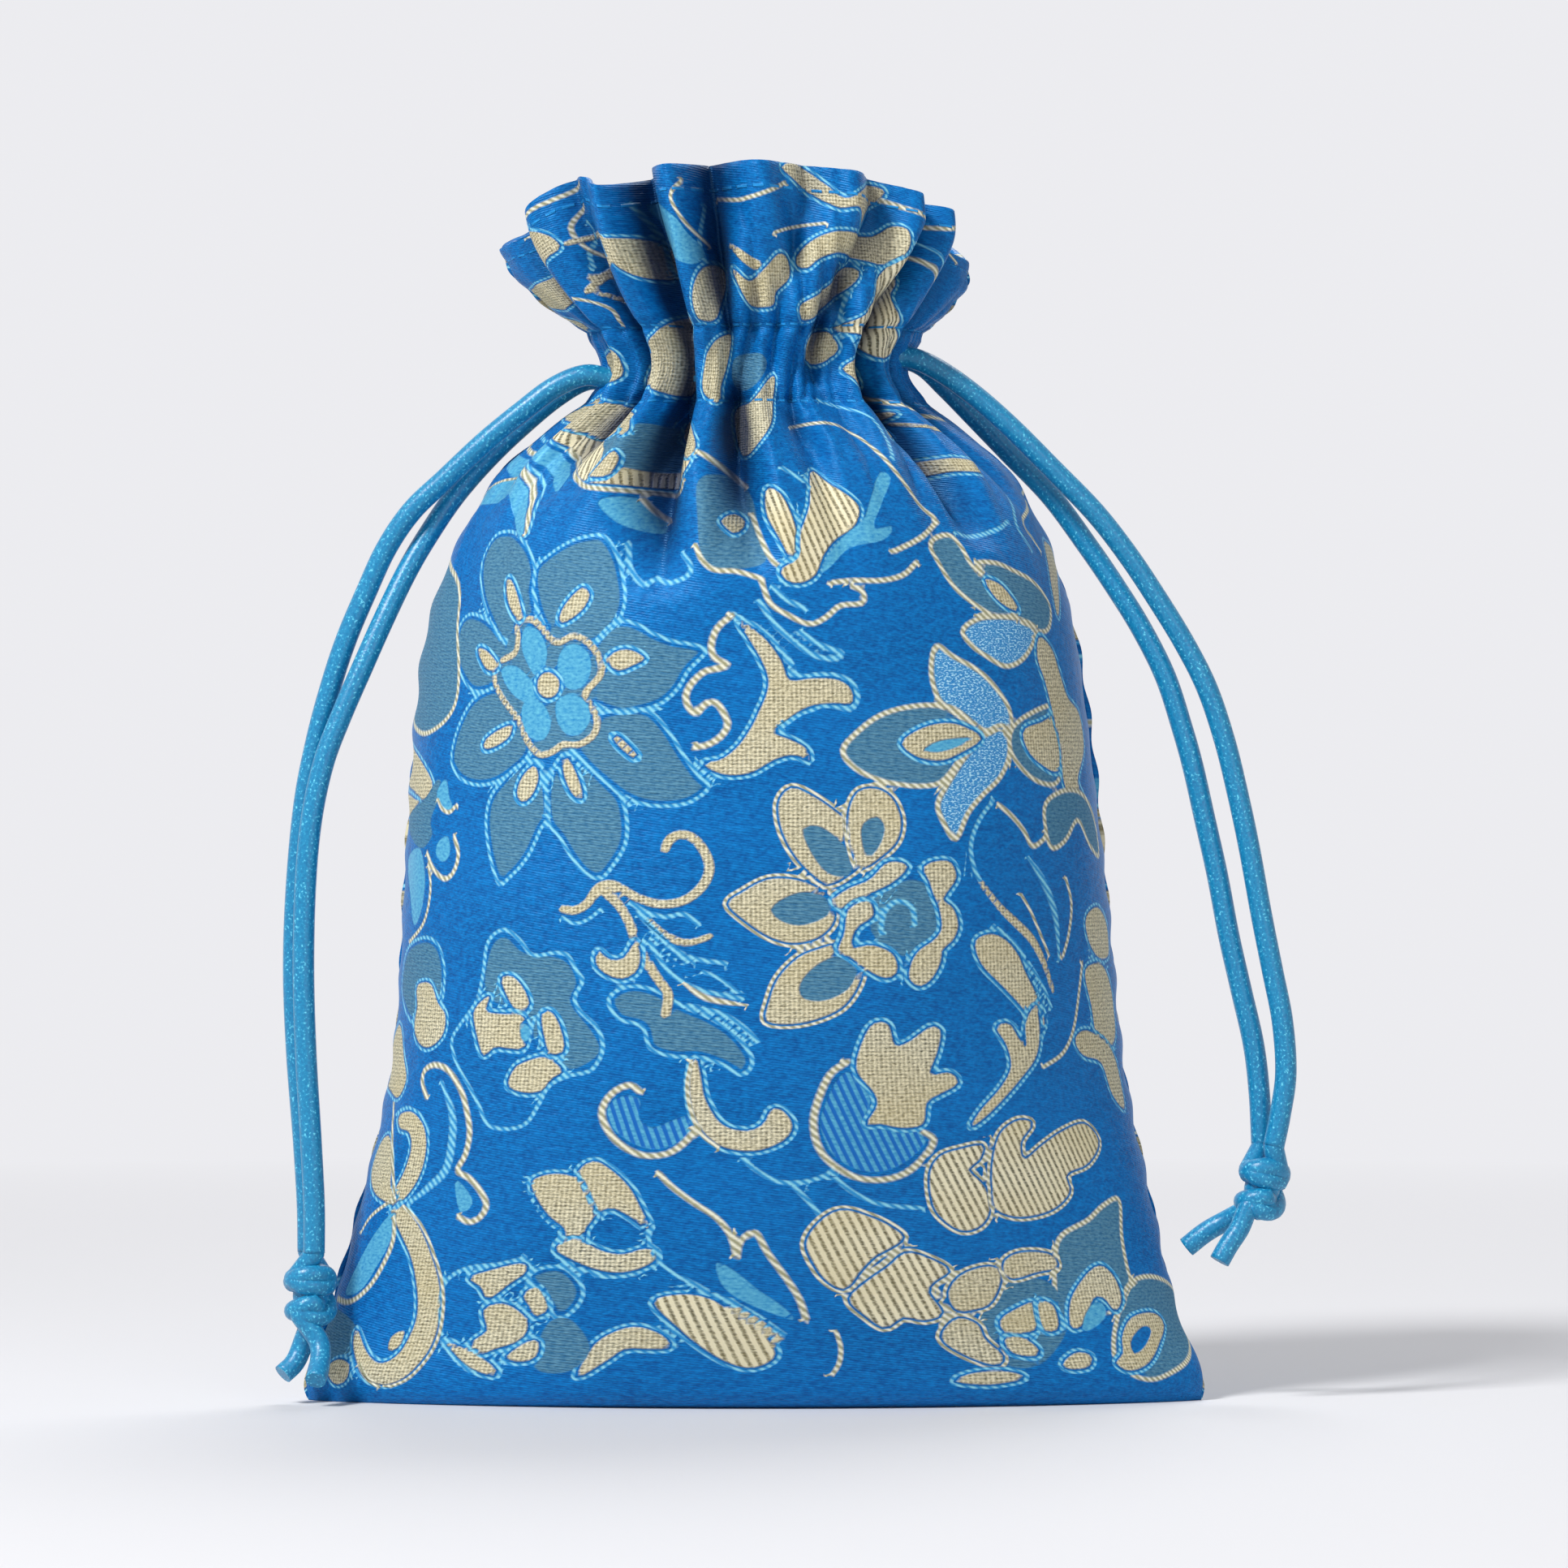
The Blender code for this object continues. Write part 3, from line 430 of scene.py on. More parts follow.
# %% Cord routes
STRANDS = {
    "left_front": ((
        (-17.0, -1.7, 0.9888), (-20.4, -1.8, 0.9928), (-24.2, -1.9, 0.9807), (-28.2, -1.9, 0.9567),
        (-32.6, -1.8, 0.9278), (-37.3, -1.6, 0.8925), (-41.3, -1.4, 0.8620), (-44.4, -1.2, 0.8258),
        (-46.9, -1.1, 0.7825), (-49.3, -1.1, 0.7368), (-51.2, -1.2, 0.6902), (-52.9, -1.5, 0.6380),
        (-54.3, -2.0, 0.5778), (-55.2, -2.6, 0.4976), (-55.5, -3.1, 0.4173), (-55.1, -3.4, 0.3371),
        (-54.3, -3.7, 0.2568), (-53.8, -3.8, 0.1926)), (-53.7, -3.8)),
    "left_back": ((
        (-17.0, 1.7, 0.9888), (-20.4, 1.8, 0.9896), (-24.0, 1.8, 0.9735), (-28.0, 1.8, 0.9470),
        (-32.2, 1.7, 0.9149), (-36.2, 1.4, 0.8780), (-39.4, 0.3, 0.8395), (-42.0, -1.0, 0.8026),
        (-44.7, -2.6, 0.7560), (-47.2, -3.8, 0.7095), (-49.8, -4.7, 0.6605), (-51.8, -5.3, 0.6164),
        (-53.2, -5.8, 0.5618), (-53.9, -6.1, 0.4976), (-54.1, -6.4, 0.4173), (-53.8, -6.6, 0.3371),
        (-53.2, -6.8, 0.2568), (-52.8, -6.9, 0.1926)), (-52.8, -6.9)),
    "right_front": ((
        (17.0, -1.7, 1.0112), (19.8, -1.8, 1.0072), (23.0, -1.9, 0.9936), (26.7, -1.9, 0.9719),
        (31.0, -1.8, 0.9414), (36.0, -1.6, 0.9013), (41.0, -1.3, 0.8604), (45.0, -1.1, 0.8194),
        (48.6, -1.0, 0.7761), (51.9, -1.0, 0.7327), (54.6, -1.1, 0.6894), (56.7, -1.2, 0.6388),
        (58.2, -1.3, 0.5899), (59.6, -1.5, 0.5369), (61.1, -1.7, 0.4703), (62.4, -1.9, 0.4173),
        (63.6, -2.1, 0.3676), (64.0, -2.3, 0.3178), (63.3, -2.6, 0.2777)), (62.5, -2.8)),
    "right_back": ((
        (17.0, 1.7, 1.0112), (20.2, 1.9, 1.0040), (23.2, 2.8, 0.9823), (26.2, 3.9, 0.9583),
        (30.6, 4.8, 0.9222), (35.9, 4.6, 0.8780), (40.4, 3.4, 0.8283), (43.8, 2.2, 0.7873),
        (46.9, 1.5, 0.7464), (49.7, 1.1, 0.7006), (51.7, 0.9, 0.6509), (53.0, 0.8, 0.6132),
        (54.4, 0.8, 0.5634), (55.9, 0.7, 0.5096), (57.3, 0.6, 0.4502), (58.8, 0.6, 0.3973),
        (60.3, 0.7, 0.3443), (61.0, 0.8, 0.2970)), (61.3, 0.7)),
}
KNOTS = {
    "left": ((-53.3, -5.3, 0.1043), 0.0, (
        ((-0.3, 0.3, -2.5), (-0.9, 0.3, -5.6), (-1.9, -0.1, -8.0), (-3.3, -0.9, -9.4)),
        ((0.5, -0.7, -2.5), (1.1, -2.1, -5.4), (1.3, -3.7, -8.0), (0.9, -5.5, -9.8)))),
    "right": ((61.2, -1.2, 0.2055), 0.16, (
        ((-1.0, 0.8, -1.6), (-3.8, 1.4, -3.7), (-6.6, 1.8, -5.3), (-9.0, 2.1, -7.2)),
        ((-0.8, -1.4, -2.0), (-2.8, -2.0, -4.6), (-4.2, -2.4, -6.7), (-5.3, -2.7, -8.6)))),
}
LOOP_OPENING = 0.14


def on_route(across, back, share):
    return Vector((across * MM, back * MM, share * CASING_HEIGHT))


def smooth_route(points, step):
    """Points about one step apart on a smooth curve through a cord's own points."""
    padded = [2 * points[0] - points[1]] + points + [2 * points[-1] - points[-2]]
    found = []
    for a, b, c, d in zip(padded, padded[1:], padded[2:], padded[3:]):
        count = max(1, round((c - b).length / step))
        for index in range(count):
            t = index / count
            found.append(0.5 * (2 * b + (c - a) * t + (2 * a - 5 * b + 4 * c - d) * t * t
                                + (3 * b - a - 3 * c + d) * t ** 3))
    return found + [points[-1]]


def route_length(route):
    return sum((b - a).length for a, b in zip(route, route[1:]))


# %% [markdown]
# ## A braided tube
# A braid is a round of threads, half of them turning left and half turning right, each passing
# over and under the others. spin can't follow a route, so a small ring from create_circle is
# extruded along it, turned at each step to the route's way. The ring keeps a steady twist by
# carrying its side vector along. UVs run round the cord and along it, for the braid's pattern.

# %% Tubes along a route
RING_SIDES = 16
BRAID_PITCH = 3.0 * MM


def tube(bm, route, radius, side=Vector((0, -1, 0))):
    """Adds a tube along a route to bm, with UVs of its turn and of its way along."""
    uv = bm.loops.layers.uv.verify()
    made = bmesh.ops.create_circle(bm, cap_ends=False, segments=RING_SIDES, radius=1.0)
    ring_verts = made["verts"]
    circle = [v.co.copy() for v in ring_verts]
    rings, travelled = [ring_verts], [0.0]
    edges = [e for e in bm.edges if all(v in set(ring_verts) for v in e.verts)]
    strips = []
    for a, b in zip(route, route[1:]):
        grown = bmesh.ops.extrude_edge_only(bm, edges=edges)["geom"]
        new_verts = [g for g in grown if isinstance(g, bmesh.types.BMVert)]
        edges = [g for g in grown if isinstance(g, bmesh.types.BMEdge)
                 and all(v in set(new_verts) for v in g.verts)]
        order = []
        for old in rings[-1]:
            order.append(next(e.other_vert(old) for e in old.link_edges
                              if e.other_vert(old) in set(new_verts)))
        rings.append(order)
        travelled.append(travelled[-1] + (b - a).length)
        strips.append([g for g in grown if isinstance(g, bmesh.types.BMFace)])
    for i, (place, verts) in enumerate(zip(route, rings)):
        way = (route[min(i + 1, len(route) - 1)] - route[max(i - 1, 0)]).normalized()
        side = (side - way * side.dot(way)).normalized()
        other = way.cross(side)
        for k, (v, flat) in enumerate(zip(verts, circle)):
            turn = 2 * pi * k / RING_SIDES
            v.co = place + (side * cos(turn) + other * sin(turn)) * radius
    for i, faces in enumerate(strips):
        where = {v: (k, travelled[i]) for k, v in enumerate(rings[i])}
        where.update({v: (k, travelled[i + 1]) for k, v in enumerate(rings[i + 1])})
        for face in faces:
            turns = [where[v][0] for v in face.verts]
            wraps = max(turns) - min(turns) > RING_SIDES / 2
            for loop in face.loops:
                k, s = where[loop.vert]
                loop[uv].uv = ((k + RING_SIDES * (wraps and k == 0)) / RING_SIDES, s / UV_METRES)
    for verts in (rings[0], rings[-1]):
        bm.faces.new(verts)


def finish_mesh(bm, name):
    """Turns a bmesh into a piece. Its end caps stay flat."""
    bmesh.ops.recalc_face_normals(bm, faces=bm.faces)
    for face in bm.faces:
        face.smooth = len(face.verts) == 4
    mesh = bpy.data.meshes.new(name)
    bm.to_mesh(mesh)
    bm.free()
    print(name, sum(len(p.vertices) - 2 for p in mesh.polygons), "triangles")
    return link(name, mesh)


# %% [markdown]
# ## Strands, hidden loops and knots
# Every free strand is a cord with its real length, from the slit in the side seam to
# its knot. The stretch inside the casing is a piece of its own, and no free cord. A knot is
# drawn as its cords: each strand goes on, turns round the other and leaves as a tail, round a
# small core that fills the middle.

# %% Make the cords
STEP = 0.45 * MM
CORD_HEIGHT = {"left": CASING_HEIGHT - CORD_OFFSET, "right": CASING_HEIGHT + CORD_OFFSET}
LOOP_STEPS = 30
pieces = {"left": [], "right": []}


def neck_loop(hand):
    side = -1 if hand == "left" else 1
    found = []
    for step in range(LOOP_STEPS + 1):
        turn = pi * mix(LOOP_OPENING, 2 - LOOP_OPENING, step / LOOP_STEPS)
        found.append(Vector((side * NECK_LOOP_WIDTH / 2 * cos(turn),
                             -NECK_LOOP_DEPTH / 2 * sin(turn), CORD_HEIGHT[hand])))
    return found


strands, strand_ends = [], {}
for key, (places, end) in STRANDS.items():
    hand = key.split("_")[0]
    knot_middle = on_route(*KNOTS[hand][0])
    loop_points = neck_loop(hand)
    start = loop_points[0] if key.endswith("front") else loop_points[-1]
    bottom = Vector((end[0] * MM, end[1] * MM, knot_middle.z + KNOT_HEIGHT / 2 + KNOT_GAP))
    route = smooth_route([start] + [on_route(*p) for p in places] + [bottom], STEP)
    bm = bmesh.new()
    tube(bm, route, CORD_DIAMETER / 2)
    piece = finish_mesh(bm, key + "_strand")
    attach(piece, "root")
    pieces[hand].append(piece)
    strands.append((piece, hand, route))
    strand_ends[key] = (route[-2], route[-1])
    print(key, "strand is %.1f mm long" % (route_length(route) / MM))
for hand in ("left", "right"):
    loop_route = smooth_route(neck_loop(hand), 2 * STEP)
    bm = bmesh.new()
    tube(bm, loop_route, CORD_DIAMETER / 2)
    hidden = finish_mesh(bm, hand + "_casing_cord")
    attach(hidden, "root")
    pieces[hand].append(hidden)
    print(hand, "cord has %.1f mm more inside the casing" % (route_length(loop_route) / MM))
    for piece in pieces[hand]:
        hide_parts(hand + "_cord")

# %% Make the knots
CORE = Matrix.Diagonal((0.62, 0.62, 0.84))
TURNS, TURN_STEPS = 1.3, 12
for hand, (middle, lean, tails) in KNOTS.items():
    centre = on_route(*middle)
    turned = Euler((0, lean, 0)).to_matrix()
    bm = bmesh.new()
    bm.loops.layers.uv.verify()
    size = CORE @ Vector((KNOT_WIDTH, KNOT_DEPTH, KNOT_HEIGHT))
    bmesh.ops.create_uvsphere(bm, u_segments=20, v_segments=14, radius=0.5,
                              matrix=Matrix.LocRotScale(centre, Euler((0, lean, 0)), size))
    for name, spin, tail in ((hand + "_front", 1, tails[1]), (hand + "_back", -1, tails[0])):
        before, top = strand_ends[name]
        reach = KNOT_WIDTH / 2 - CORD_DIAMETER / 2
        tilt = turned @ Euler((0.35 * spin, 0.5 * spin, 0)).to_matrix()
        start_turn = 0.2 if spin > 0 else pi - 0.2
        path = [before, top + (top - before) * 0.2]
        for step in range(TURN_STEPS + 1):
            share = step / TURN_STEPS
            angle = start_turn + spin * share * TURNS * 2 * pi
            rise = mix(0.30, -0.22, share) * KNOT_HEIGHT
            ring_place = Vector((cos(angle) * reach, -sin(angle) * reach * 0.92, 0))
            path.append(centre + tilt @ ring_place + turned @ Vector((0, 0, rise)))
        path += [centre + Vector(p) * MM for p in tail[1:]]
        tube(bm, smooth_route(path, STEP), CORD_DIAMETER / 2 * 0.96)
    knot = finish_mesh(bm, hand + "_tied_knot")
    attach(knot, "root")
    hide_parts(hand + "_knot")
    pieces[hand].append(knot)
for piece, hand, route in strands:
    route_length(route)

# %% [markdown]
# ## Woven flowers
# The brocade has flowers, buds and scrolled leaves in four threads: gold, a see-through grey
# blue, a bright sky blue, and thin outlines in cyan and cream. They could be an image, but a
# signed distance is sharper: for every point of the cloth it says how far the nearest edge of
# a colour is, and the shader draws the edge where it passes zero. Shapes are laid down like
# paint, and each new one is taken out of the threads under it. Places are pixels of the
# picture, so the shapes are first carried to the flat cloth through the camera's view.

# %% Shapes of the flowers
# First the words: a thread, or a line, stem or ring with its thread and width in pixels. Then
# x and y in turn. "outlined" kinds get a thin line round them, "ground" uncovers the satin.
SHAPES = (
    # the eight-petalled flower
    ("petal cyan", (655,702, 647,676, 628,657, 607,656, 591,674, 582,700, 584,733, 596,764,
        612,790, 640,800, 655,760, 652,725)),
    ("petal cyan", (655,702, 672,684, 700,667, 722,660, 740,660, 755,681, 764,709, 769,740,
        760,765, 735,790, 700,800, 670,775, 655,735)),
    ("petal cyan", (597,768, 580,758, 566,757, 556,768, 551,790, 553,815, 563,838, 578,852,
        605,845, 625,825, 625,795, 612,785)),
    ("petal cyan", (612,850, 590,852, 572,866, 559,892, 552,918, 551,940, 562,959, 582,967,
        604,964, 626,951, 650,925, 640,880)),
    ("petal cyan", (791,874, 818,895, 841,930, 860,956, 873,970, 850,988, 822,993, 793,991,
        770,982, 748,966, 715,935, 700,905, 735,880)),
    ("petal cyan", (674,1005, 665,1020, 652,1049, 639,1068, 626,1081, 614,1090, 604,1065,
        598,1039, 595,1010, 599,985, 612,965, 640,940, 665,940, 672,970)),
    ("petal cyan", (748,966, 765,985, 771,1014, 769,1039, 758,1060, 742,1080, 732,1082, 716,1073,
        700,1052, 687,1030, 674,1012, 672,970, 690,930, 715,935)),
    ("petal cyan", (745,775, 767,765, 786,770, 808,782, 829,790, 853,794, 870,802, 848,825,
        835,847, 816,865, 791,874, 760,878, 725,860, 715,820)),
    ("petal", (632,766, 664,774, 704,783, 737,810, 730,872, 735,889, 710,918, 665,930, 636,889,
        602,835, 612,814)),
    ("ring gold", (632,766, 650,763, 664,774, 676,788, 688,791, 704,783, 722,791, 737,810,
        739,831, 725,847, 719,857, 728,872, 735,889, 729,907, 710,918, 692,917, 681,925, 665,930,
        652,921, 642,905, 636,889, 624,874, 612,858, 602,835, 612,814, 628,806, 633,788)),
    ("sky", (641,773, 658,776, 670,798, 668,820, 660,834, 648,822, 638,798)),
    ("sky", (690,800, 706,793, 722,803, 727,822, 720,842, 704,850, 690,840, 684,820)),
    ("sky", (611,825, 628,820, 645,832, 660,852, 656,866, 640,864, 622,850)),
    ("sky", (640,868, 658,862, 672,876, 676,896, 666,912, 650,908, 640,892)),
    ("sky", (684,862, 704,856, 722,866, 726,886, 714,904, 696,904, 684,886)),
    ("gold", (672,828, 686,838, 684,854, 672,860, 660,852, 660,836)),
    ("gold", (618,714, 626,718, 634,740, 638,762, 628,758, 619,738)),
    ("gold", (716,724, 724,734, 714,752, 694,766, 686,764, 690,750, 704,732)),
    ("gold", (748,812, 760,802, 776,801, 793,811, 778,820, 760,826)),
    ("gold", (754,907, 764,910, 783,930, 778,933, 762,920)),
    ("gold", (692,934, 702,940, 714,968, 715,984, 704,978, 694,956)),
    ("gold", (655,944, 661,958, 654,978, 642,988, 634,978, 640,958)),
    ("gold", (625,894, 622,908, 604,920, 591,922, 592,912, 608,900)),
    ("gold", (580,800, 592,802, 606,818, 602,826, 590,822)),
    # leaf under the left cord
    ("sky", (614,555, 632,567, 641,592, 641,635, 638,660, 629,656, 623,632, 621,604, 611,577)),
    ("stem cream 12", (632,546, 644,577, 648,607, 646,638, 642,660)),
    ("line cyan 5", (647,528, 655,549, 659,592, 655,629, 646,660)),
    ("sky", (577,620, 592,604, 614,589, 629,595, 614,613, 595,620, 580,624)),
    ("line cream 4", (577,620, 592,604, 614,589, 629,595)),
    ("sky", (663,548, 680,545, 686,580, 680,606, 672,600, 666,580)),
    # gathered flower under the neck
    ("gold ribbed", (690,545, 700,575, 715,592, 760,597, 815,599, 835,585, 850,560, 800,545,
        755,530, 700,520)),
    ("petal", (745,530, 800,522, 835,545, 830,572, 790,580, 758,572, 740,556)),
    ("gold", (758,508, 776,508, 784,522, 776,536, 762,530)),
    ("gold", (727,585, 742,572, 761,556, 764,566, 750,586)),
    ("line cream 6", (690,552, 696,577, 712,596, 739,602, 785,605, 816,608, 833,603, 838,590)),
    ("gold", (700,500, 731,489, 761,503, 756,522, 750,535, 722,540, 705,525)),
    ("gold", (818,518, 845,520, 858,545, 850,562, 830,556, 815,540)),
    ("petal", (862,590, 900,586, 925,610, 935,650, 945,690, 910,701, 880,700, 865,690, 860,640)),
    ("gold", (888,640, 902,632, 916,640, 914,650, 904,656, 894,650)),
    ("line cream 7", (859,556, 872,563, 893,580, 918,598)),
    ("line cream 6", (857,672, 865,690, 880,702, 908,704, 939,713)),
    ("line cream 6", (926,632, 940,668, 954,693, 972,703)),
    ("gold ribbed", (945,602, 962,610, 977,640, 982,668, 975,688, 960,662, 945,632)),
    ("line cyan 6", (767,668, 773,702, 792,721, 804,712, 822,718, 847,709, 850,696, 838,681)),
    ("sky", (736,617, 770,612, 800,635, 806,655, 775,652, 750,640)),
    ("line cream 6", (776,613, 792,630, 811,641)),
    ("gold ribbed", (1000,580, 1026,597, 1050,614, 1060,628, 1053,649, 1029,666, 1015,684,
        1005,708, 987,718, 970,715, 963,701, 984,687, 987,656, 998,621)),
    ("line sky 5", (960,575, 985,590, 998,600)),
    ("sky", (1085,582, 1098,590, 1088,620, 1078,650, 1103,648, 1090,665, 1050,674, 1025,697,
        1012,706, 1020,685, 1045,657, 1065,640, 1075,610)),
    ("line cream 6", (974,526, 1008,521, 1033,524, 1060,538, 1095,573, 1123,604, 1137,621,
        1157,637)),
    ("line cream 6", (1161,642, 1137,663, 1102,680)),
    ("line cream 6", (1022,718, 1053,715, 1088,715, 1116,708, 1133,692)),
    ("line cream 6", (939,718, 949,743, 970,757, 998,769, 1019,760, 1036,746, 1064,743, 1064,729,
        1050,722)),
    ("line cyan 6", (935,740, 956,770, 984,795, 1005,808, 1030,812, 1037,804, 1012,795, 984,777)),
    ("line cyan 6", (952,722, 968,738, 994,750)),
    # scrolled leaf with a gold crest
    ("line cream 7", (902,758, 884,773, 876,794, 880,810, 896,819, 884,824, 868,827, 852,841,
        844,857, 848,872, 858,879, 868,867, 882,866, 893,882, 896,895, 886,909, 870,918,
        854,921)),
    ("gold", (910,764, 928,775, 947,792, 963,815, 973,838, 1000,836, 1030,837, 1048,848,
        1050,866, 1030,866, 1005,868, 985,876, 965,890, 952,902, 975,912, 993,922, 997,937,
        985,931, 968,931, 950,938, 927,951, 901,955, 879,950, 867,940, 888,936, 909,920, 925,898,
        935,878, 945,855, 947,835, 938,812, 925,790)),
    ("line cyan 5", (901,755, 930,770, 955,791, 974,814, 984,832, 1019,830, 1047,838, 1058,857,
        1050,874, 1033,872, 1012,871, 987,880, 966,893)),
    # two grey petals and a beaded one
    ("petal cream", (1150,673, 1157,663, 1175,659, 1188,673, 1199,694, 1216,715, 1237,736,
        1251,756, 1227,758, 1206,746, 1185,729, 1171,711, 1161,694)),
    ("petal cream", (1206,694, 1230,694, 1254,704, 1275,715, 1292,732, 1301,750, 1296,775,
        1279,777, 1258,765, 1240,738, 1220,712)),
    ("gold", (1216,714, 1236,722, 1256,750, 1246,750, 1228,736)),
    ("beads cream", (1188,777, 1206,763, 1230,760, 1258,763, 1279,774, 1275,791, 1261,812,
        1240,821, 1216,808, 1199,795)),
    ("line cream 5", (1265,604, 1268,640, 1280,662, 1293,682)),
    ("line sky 6", (1247,600, 1257,646, 1279,680)),
    ("gold", (1297,668, 1308,660, 1318,680, 1315,720, 1312,760, 1306,730, 1302,700)),
    ("gold", (1156,574, 1180,564, 1205,570, 1217,582, 1190,580, 1170,588, 1158,586)),
    ("line cyan 5", (1180,655, 1204,661, 1232,654, 1247,642)),
    # eye-shaped petal with two beaded ones
    ("beads cream", (1157,795, 1175,808, 1206,826, 1227,847, 1244,874, 1246,900, 1225,905,
        1205,895, 1180,875, 1160,865, 1150,838, 1150,812)),
    ("beads cream", (1211,905, 1237,894, 1244,927, 1233,957, 1211,979, 1192,1002, 1177,1034,
        1162,1013, 1155,991, 1166,968, 1185,938, 1203,916)),
    ("petal cream", (1039,925, 1054,905, 1084,882, 1121,871, 1159,870, 1185,885, 1211,909,
        1190,925, 1172,950, 1155,966, 1121,968, 1084,961, 1054,946)),
    ("gold", (1112,916, 1129,901, 1155,892, 1181,893, 1209,909, 1188,925, 1159,937, 1130,932)),
    ("sky", (1138,923, 1160,912, 1197,909, 1180,920, 1155,927)),
    # gold flower at the right seam
    ("petal cream", (1248,897, 1271,879, 1300,870, 1312,900, 1307,960, 1286,965, 1263,950,
        1246,925)),
    ("gold", (1262,900, 1285,890, 1308,880, 1315,920, 1305,950, 1285,942, 1268,925)),
    ("gold", (1283,785, 1300,800, 1310,830, 1320,860, 1335,880, 1340,920, 1330,960, 1338,985,
        1325,995, 1312,960, 1310,920, 1300,880, 1290,840, 1280,810)),
    ("petal cream", (1290,990, 1310,975, 1330,975, 1345,990, 1355,1020, 1358,1055, 1345,1040,
        1330,1010, 1315,1035, 1298,1045, 1290,1020)),
    ("line cream 6", (1230,991, 1248,1006, 1263,1024, 1274,1043, 1290,1032)),
    ("line cyan 5", (1225,985, 1207,1009, 1196,1039, 1200,1069, 1211,1091)),
    ("stem gold 11", (1209,1088, 1233,1118, 1256,1140, 1274,1159, 1289,1188, 1300,1220)),
    ("stem sky 10", (1268,1056, 1284,1080, 1296,1106, 1304,1136, 1308,1184)),
    ("line cream 5", (1315,1080, 1323,1114, 1320,1151, 1312,1181)),
    ("line cream 4", (1258,1100, 1270,1120, 1280,1142, 1296,1180)),
    ("gold", (1203,1160, 1222,1151, 1241,1159, 1256,1177, 1265,1198, 1280,1228, 1290,1259,
        1282,1272, 1263,1243, 1237,1215, 1211,1188)),
    ("line cyan 4", (1225,1140, 1250,1160, 1272,1190, 1290,1220, 1300,1245)),
    ("gold", (1342,1130, 1356,1118, 1366,1140, 1368,1175, 1358,1180, 1346,1160)),
    ("gold", (1342,1195, 1362,1190, 1372,1230, 1375,1280, 1360,1290, 1350,1240)),
    ("gold", (1330,1280, 1345,1270, 1370,1290, 1380,1320, 1388,1365, 1375,1350, 1362,1310,
        1340,1300)),
    ("line cream 5", (1338,1185, 1334,1226, 1328,1267, 1315,1297, 1289,1315)),
    # gold flower in the middle
    ("gold outlined", (1015,1087, 985,1060, 965,1025, 960,990, 975,971, 1000,980, 1030,1000,
        1050,1020, 1060,1062, 1045,1078, 1030,1087)),
    ("petal", (990,1022, 1010,1018, 1035,1035, 1052,1060, 1045,1080, 1020,1075, 1000,1050)),
    ("gold outlined", (1047,1002, 1058,976, 1080,972, 1099,983, 1110,1009, 1106,1035, 1088,1054,
        1062,1069, 1050,1039)),
    ("petal", (1062,1020, 1080,1006, 1091,1020, 1084,1043, 1069,1056)),
    ("gold outlined", (897,1114, 916,1099, 946,1084, 979,1084, 1009,1095, 1026,1114, 1028,1136,
        1009,1155, 979,1162, 950,1155, 920,1136)),
    ("petal", (950,1121, 968,1106, 994,1099, 1020,1108, 1022,1127, 991,1140, 965,1136)),
    ("gold outlined", (1009,1170, 985,1180, 960,1205, 948,1235, 945,1258, 975,1262, 1010,1255,
        1040,1240, 1058,1215, 1062,1195, 1050,1175, 1030,1165)),
    ("petal", (987,1211, 1009,1188, 1039,1177, 1058,1190, 1047,1218, 1017,1233, 990,1230)),
    ("petal", (1075,1110, 1100,1092, 1125,1084, 1150,1096, 1160,1125, 1152,1150, 1130,1172,
        1110,1178, 1085,1162, 1070,1135)),
    ("gold", (1028,1110, 1047,1095, 1073,1084, 1091,1065, 1106,1062, 1118,1069, 1099,1088,
        1069,1103, 1047,1121)),
    ("gold", (1047,1121, 1070,1110, 1077,1128, 1060,1140, 1052,1152, 1052,1168, 1075,1165,
        1100,1175, 1107,1195, 1095,1205, 1075,1198, 1050,1180, 1035,1170, 1042,1150)),
    ("line sky 6", (1086,1150, 1090,1124, 1106,1110, 1124,1118, 1128,1140)),
    ("gold", (1138,1070, 1150,1062, 1170,1062, 1178,1080, 1170,1095, 1162,1108, 1175,1120,
        1181,1140, 1175,1158, 1162,1170, 1160,1185, 1150,1205, 1135,1215, 1122,1205, 1125,1185,
        1135,1170, 1150,1160, 1161,1145, 1158,1120, 1150,1100, 1145,1085)),
    # fern leaf with a gold curl
    ("petal cyan", (748,1230, 775,1215, 810,1222, 840,1240, 875,1255, 905,1275, 927,1305,
        915,1325, 890,1312, 860,1302, 830,1302, 800,1292, 790,1265, 760,1255)),
    ("line gold 10", (818,1046, 825,1033, 841,1028, 857,1036, 870,1055, 873,1074, 863,1094,
        841,1110, 812,1114, 783,1106, 754,1090, 735,1094, 722,1113, 706,1122, 692,1120)),
    ("line cyan 4", (690,1130, 706,1138, 724,1132, 738,1120)),
    ("line gold 10", (737,1094, 761,1116, 774,1138, 781,1158, 793,1180, 809,1206, 822,1225,
        819,1250)),
    ("gold", (735,1172, 748,1182, 765,1182, 775,1170, 780,1160, 787,1175, 783,1196, 765,1206,
        745,1200, 733,1188)),
    ("line cyan 5", (774,1112, 795,1124, 820,1130, 841,1126, 860,1139)),
    ("stem gold 9", (797,1134, 822,1154, 846,1162, 874,1154)),
    ("line sky 6", (786,1126, 809,1150, 838,1178, 846,1184)),
    ("line cyan 5", (799,1161, 822,1196, 846,1213, 870,1222, 914,1231)),
    ("line cyan 5", (822,1166, 854,1181, 894,1187)),
    ("stem cream 7", (838,1209, 870,1230, 921,1239)),
    ("line cyan 5", (844,1238, 886,1248, 914,1264, 934,1284)),
    ("line cyan 4", (862,1196, 886,1206, 908,1222)),
    # faint rose
    ("petal", (605,1170, 622,1155, 645,1175, 690,1182, 708,1210, 700,1235, 730,1275, 735,1300,
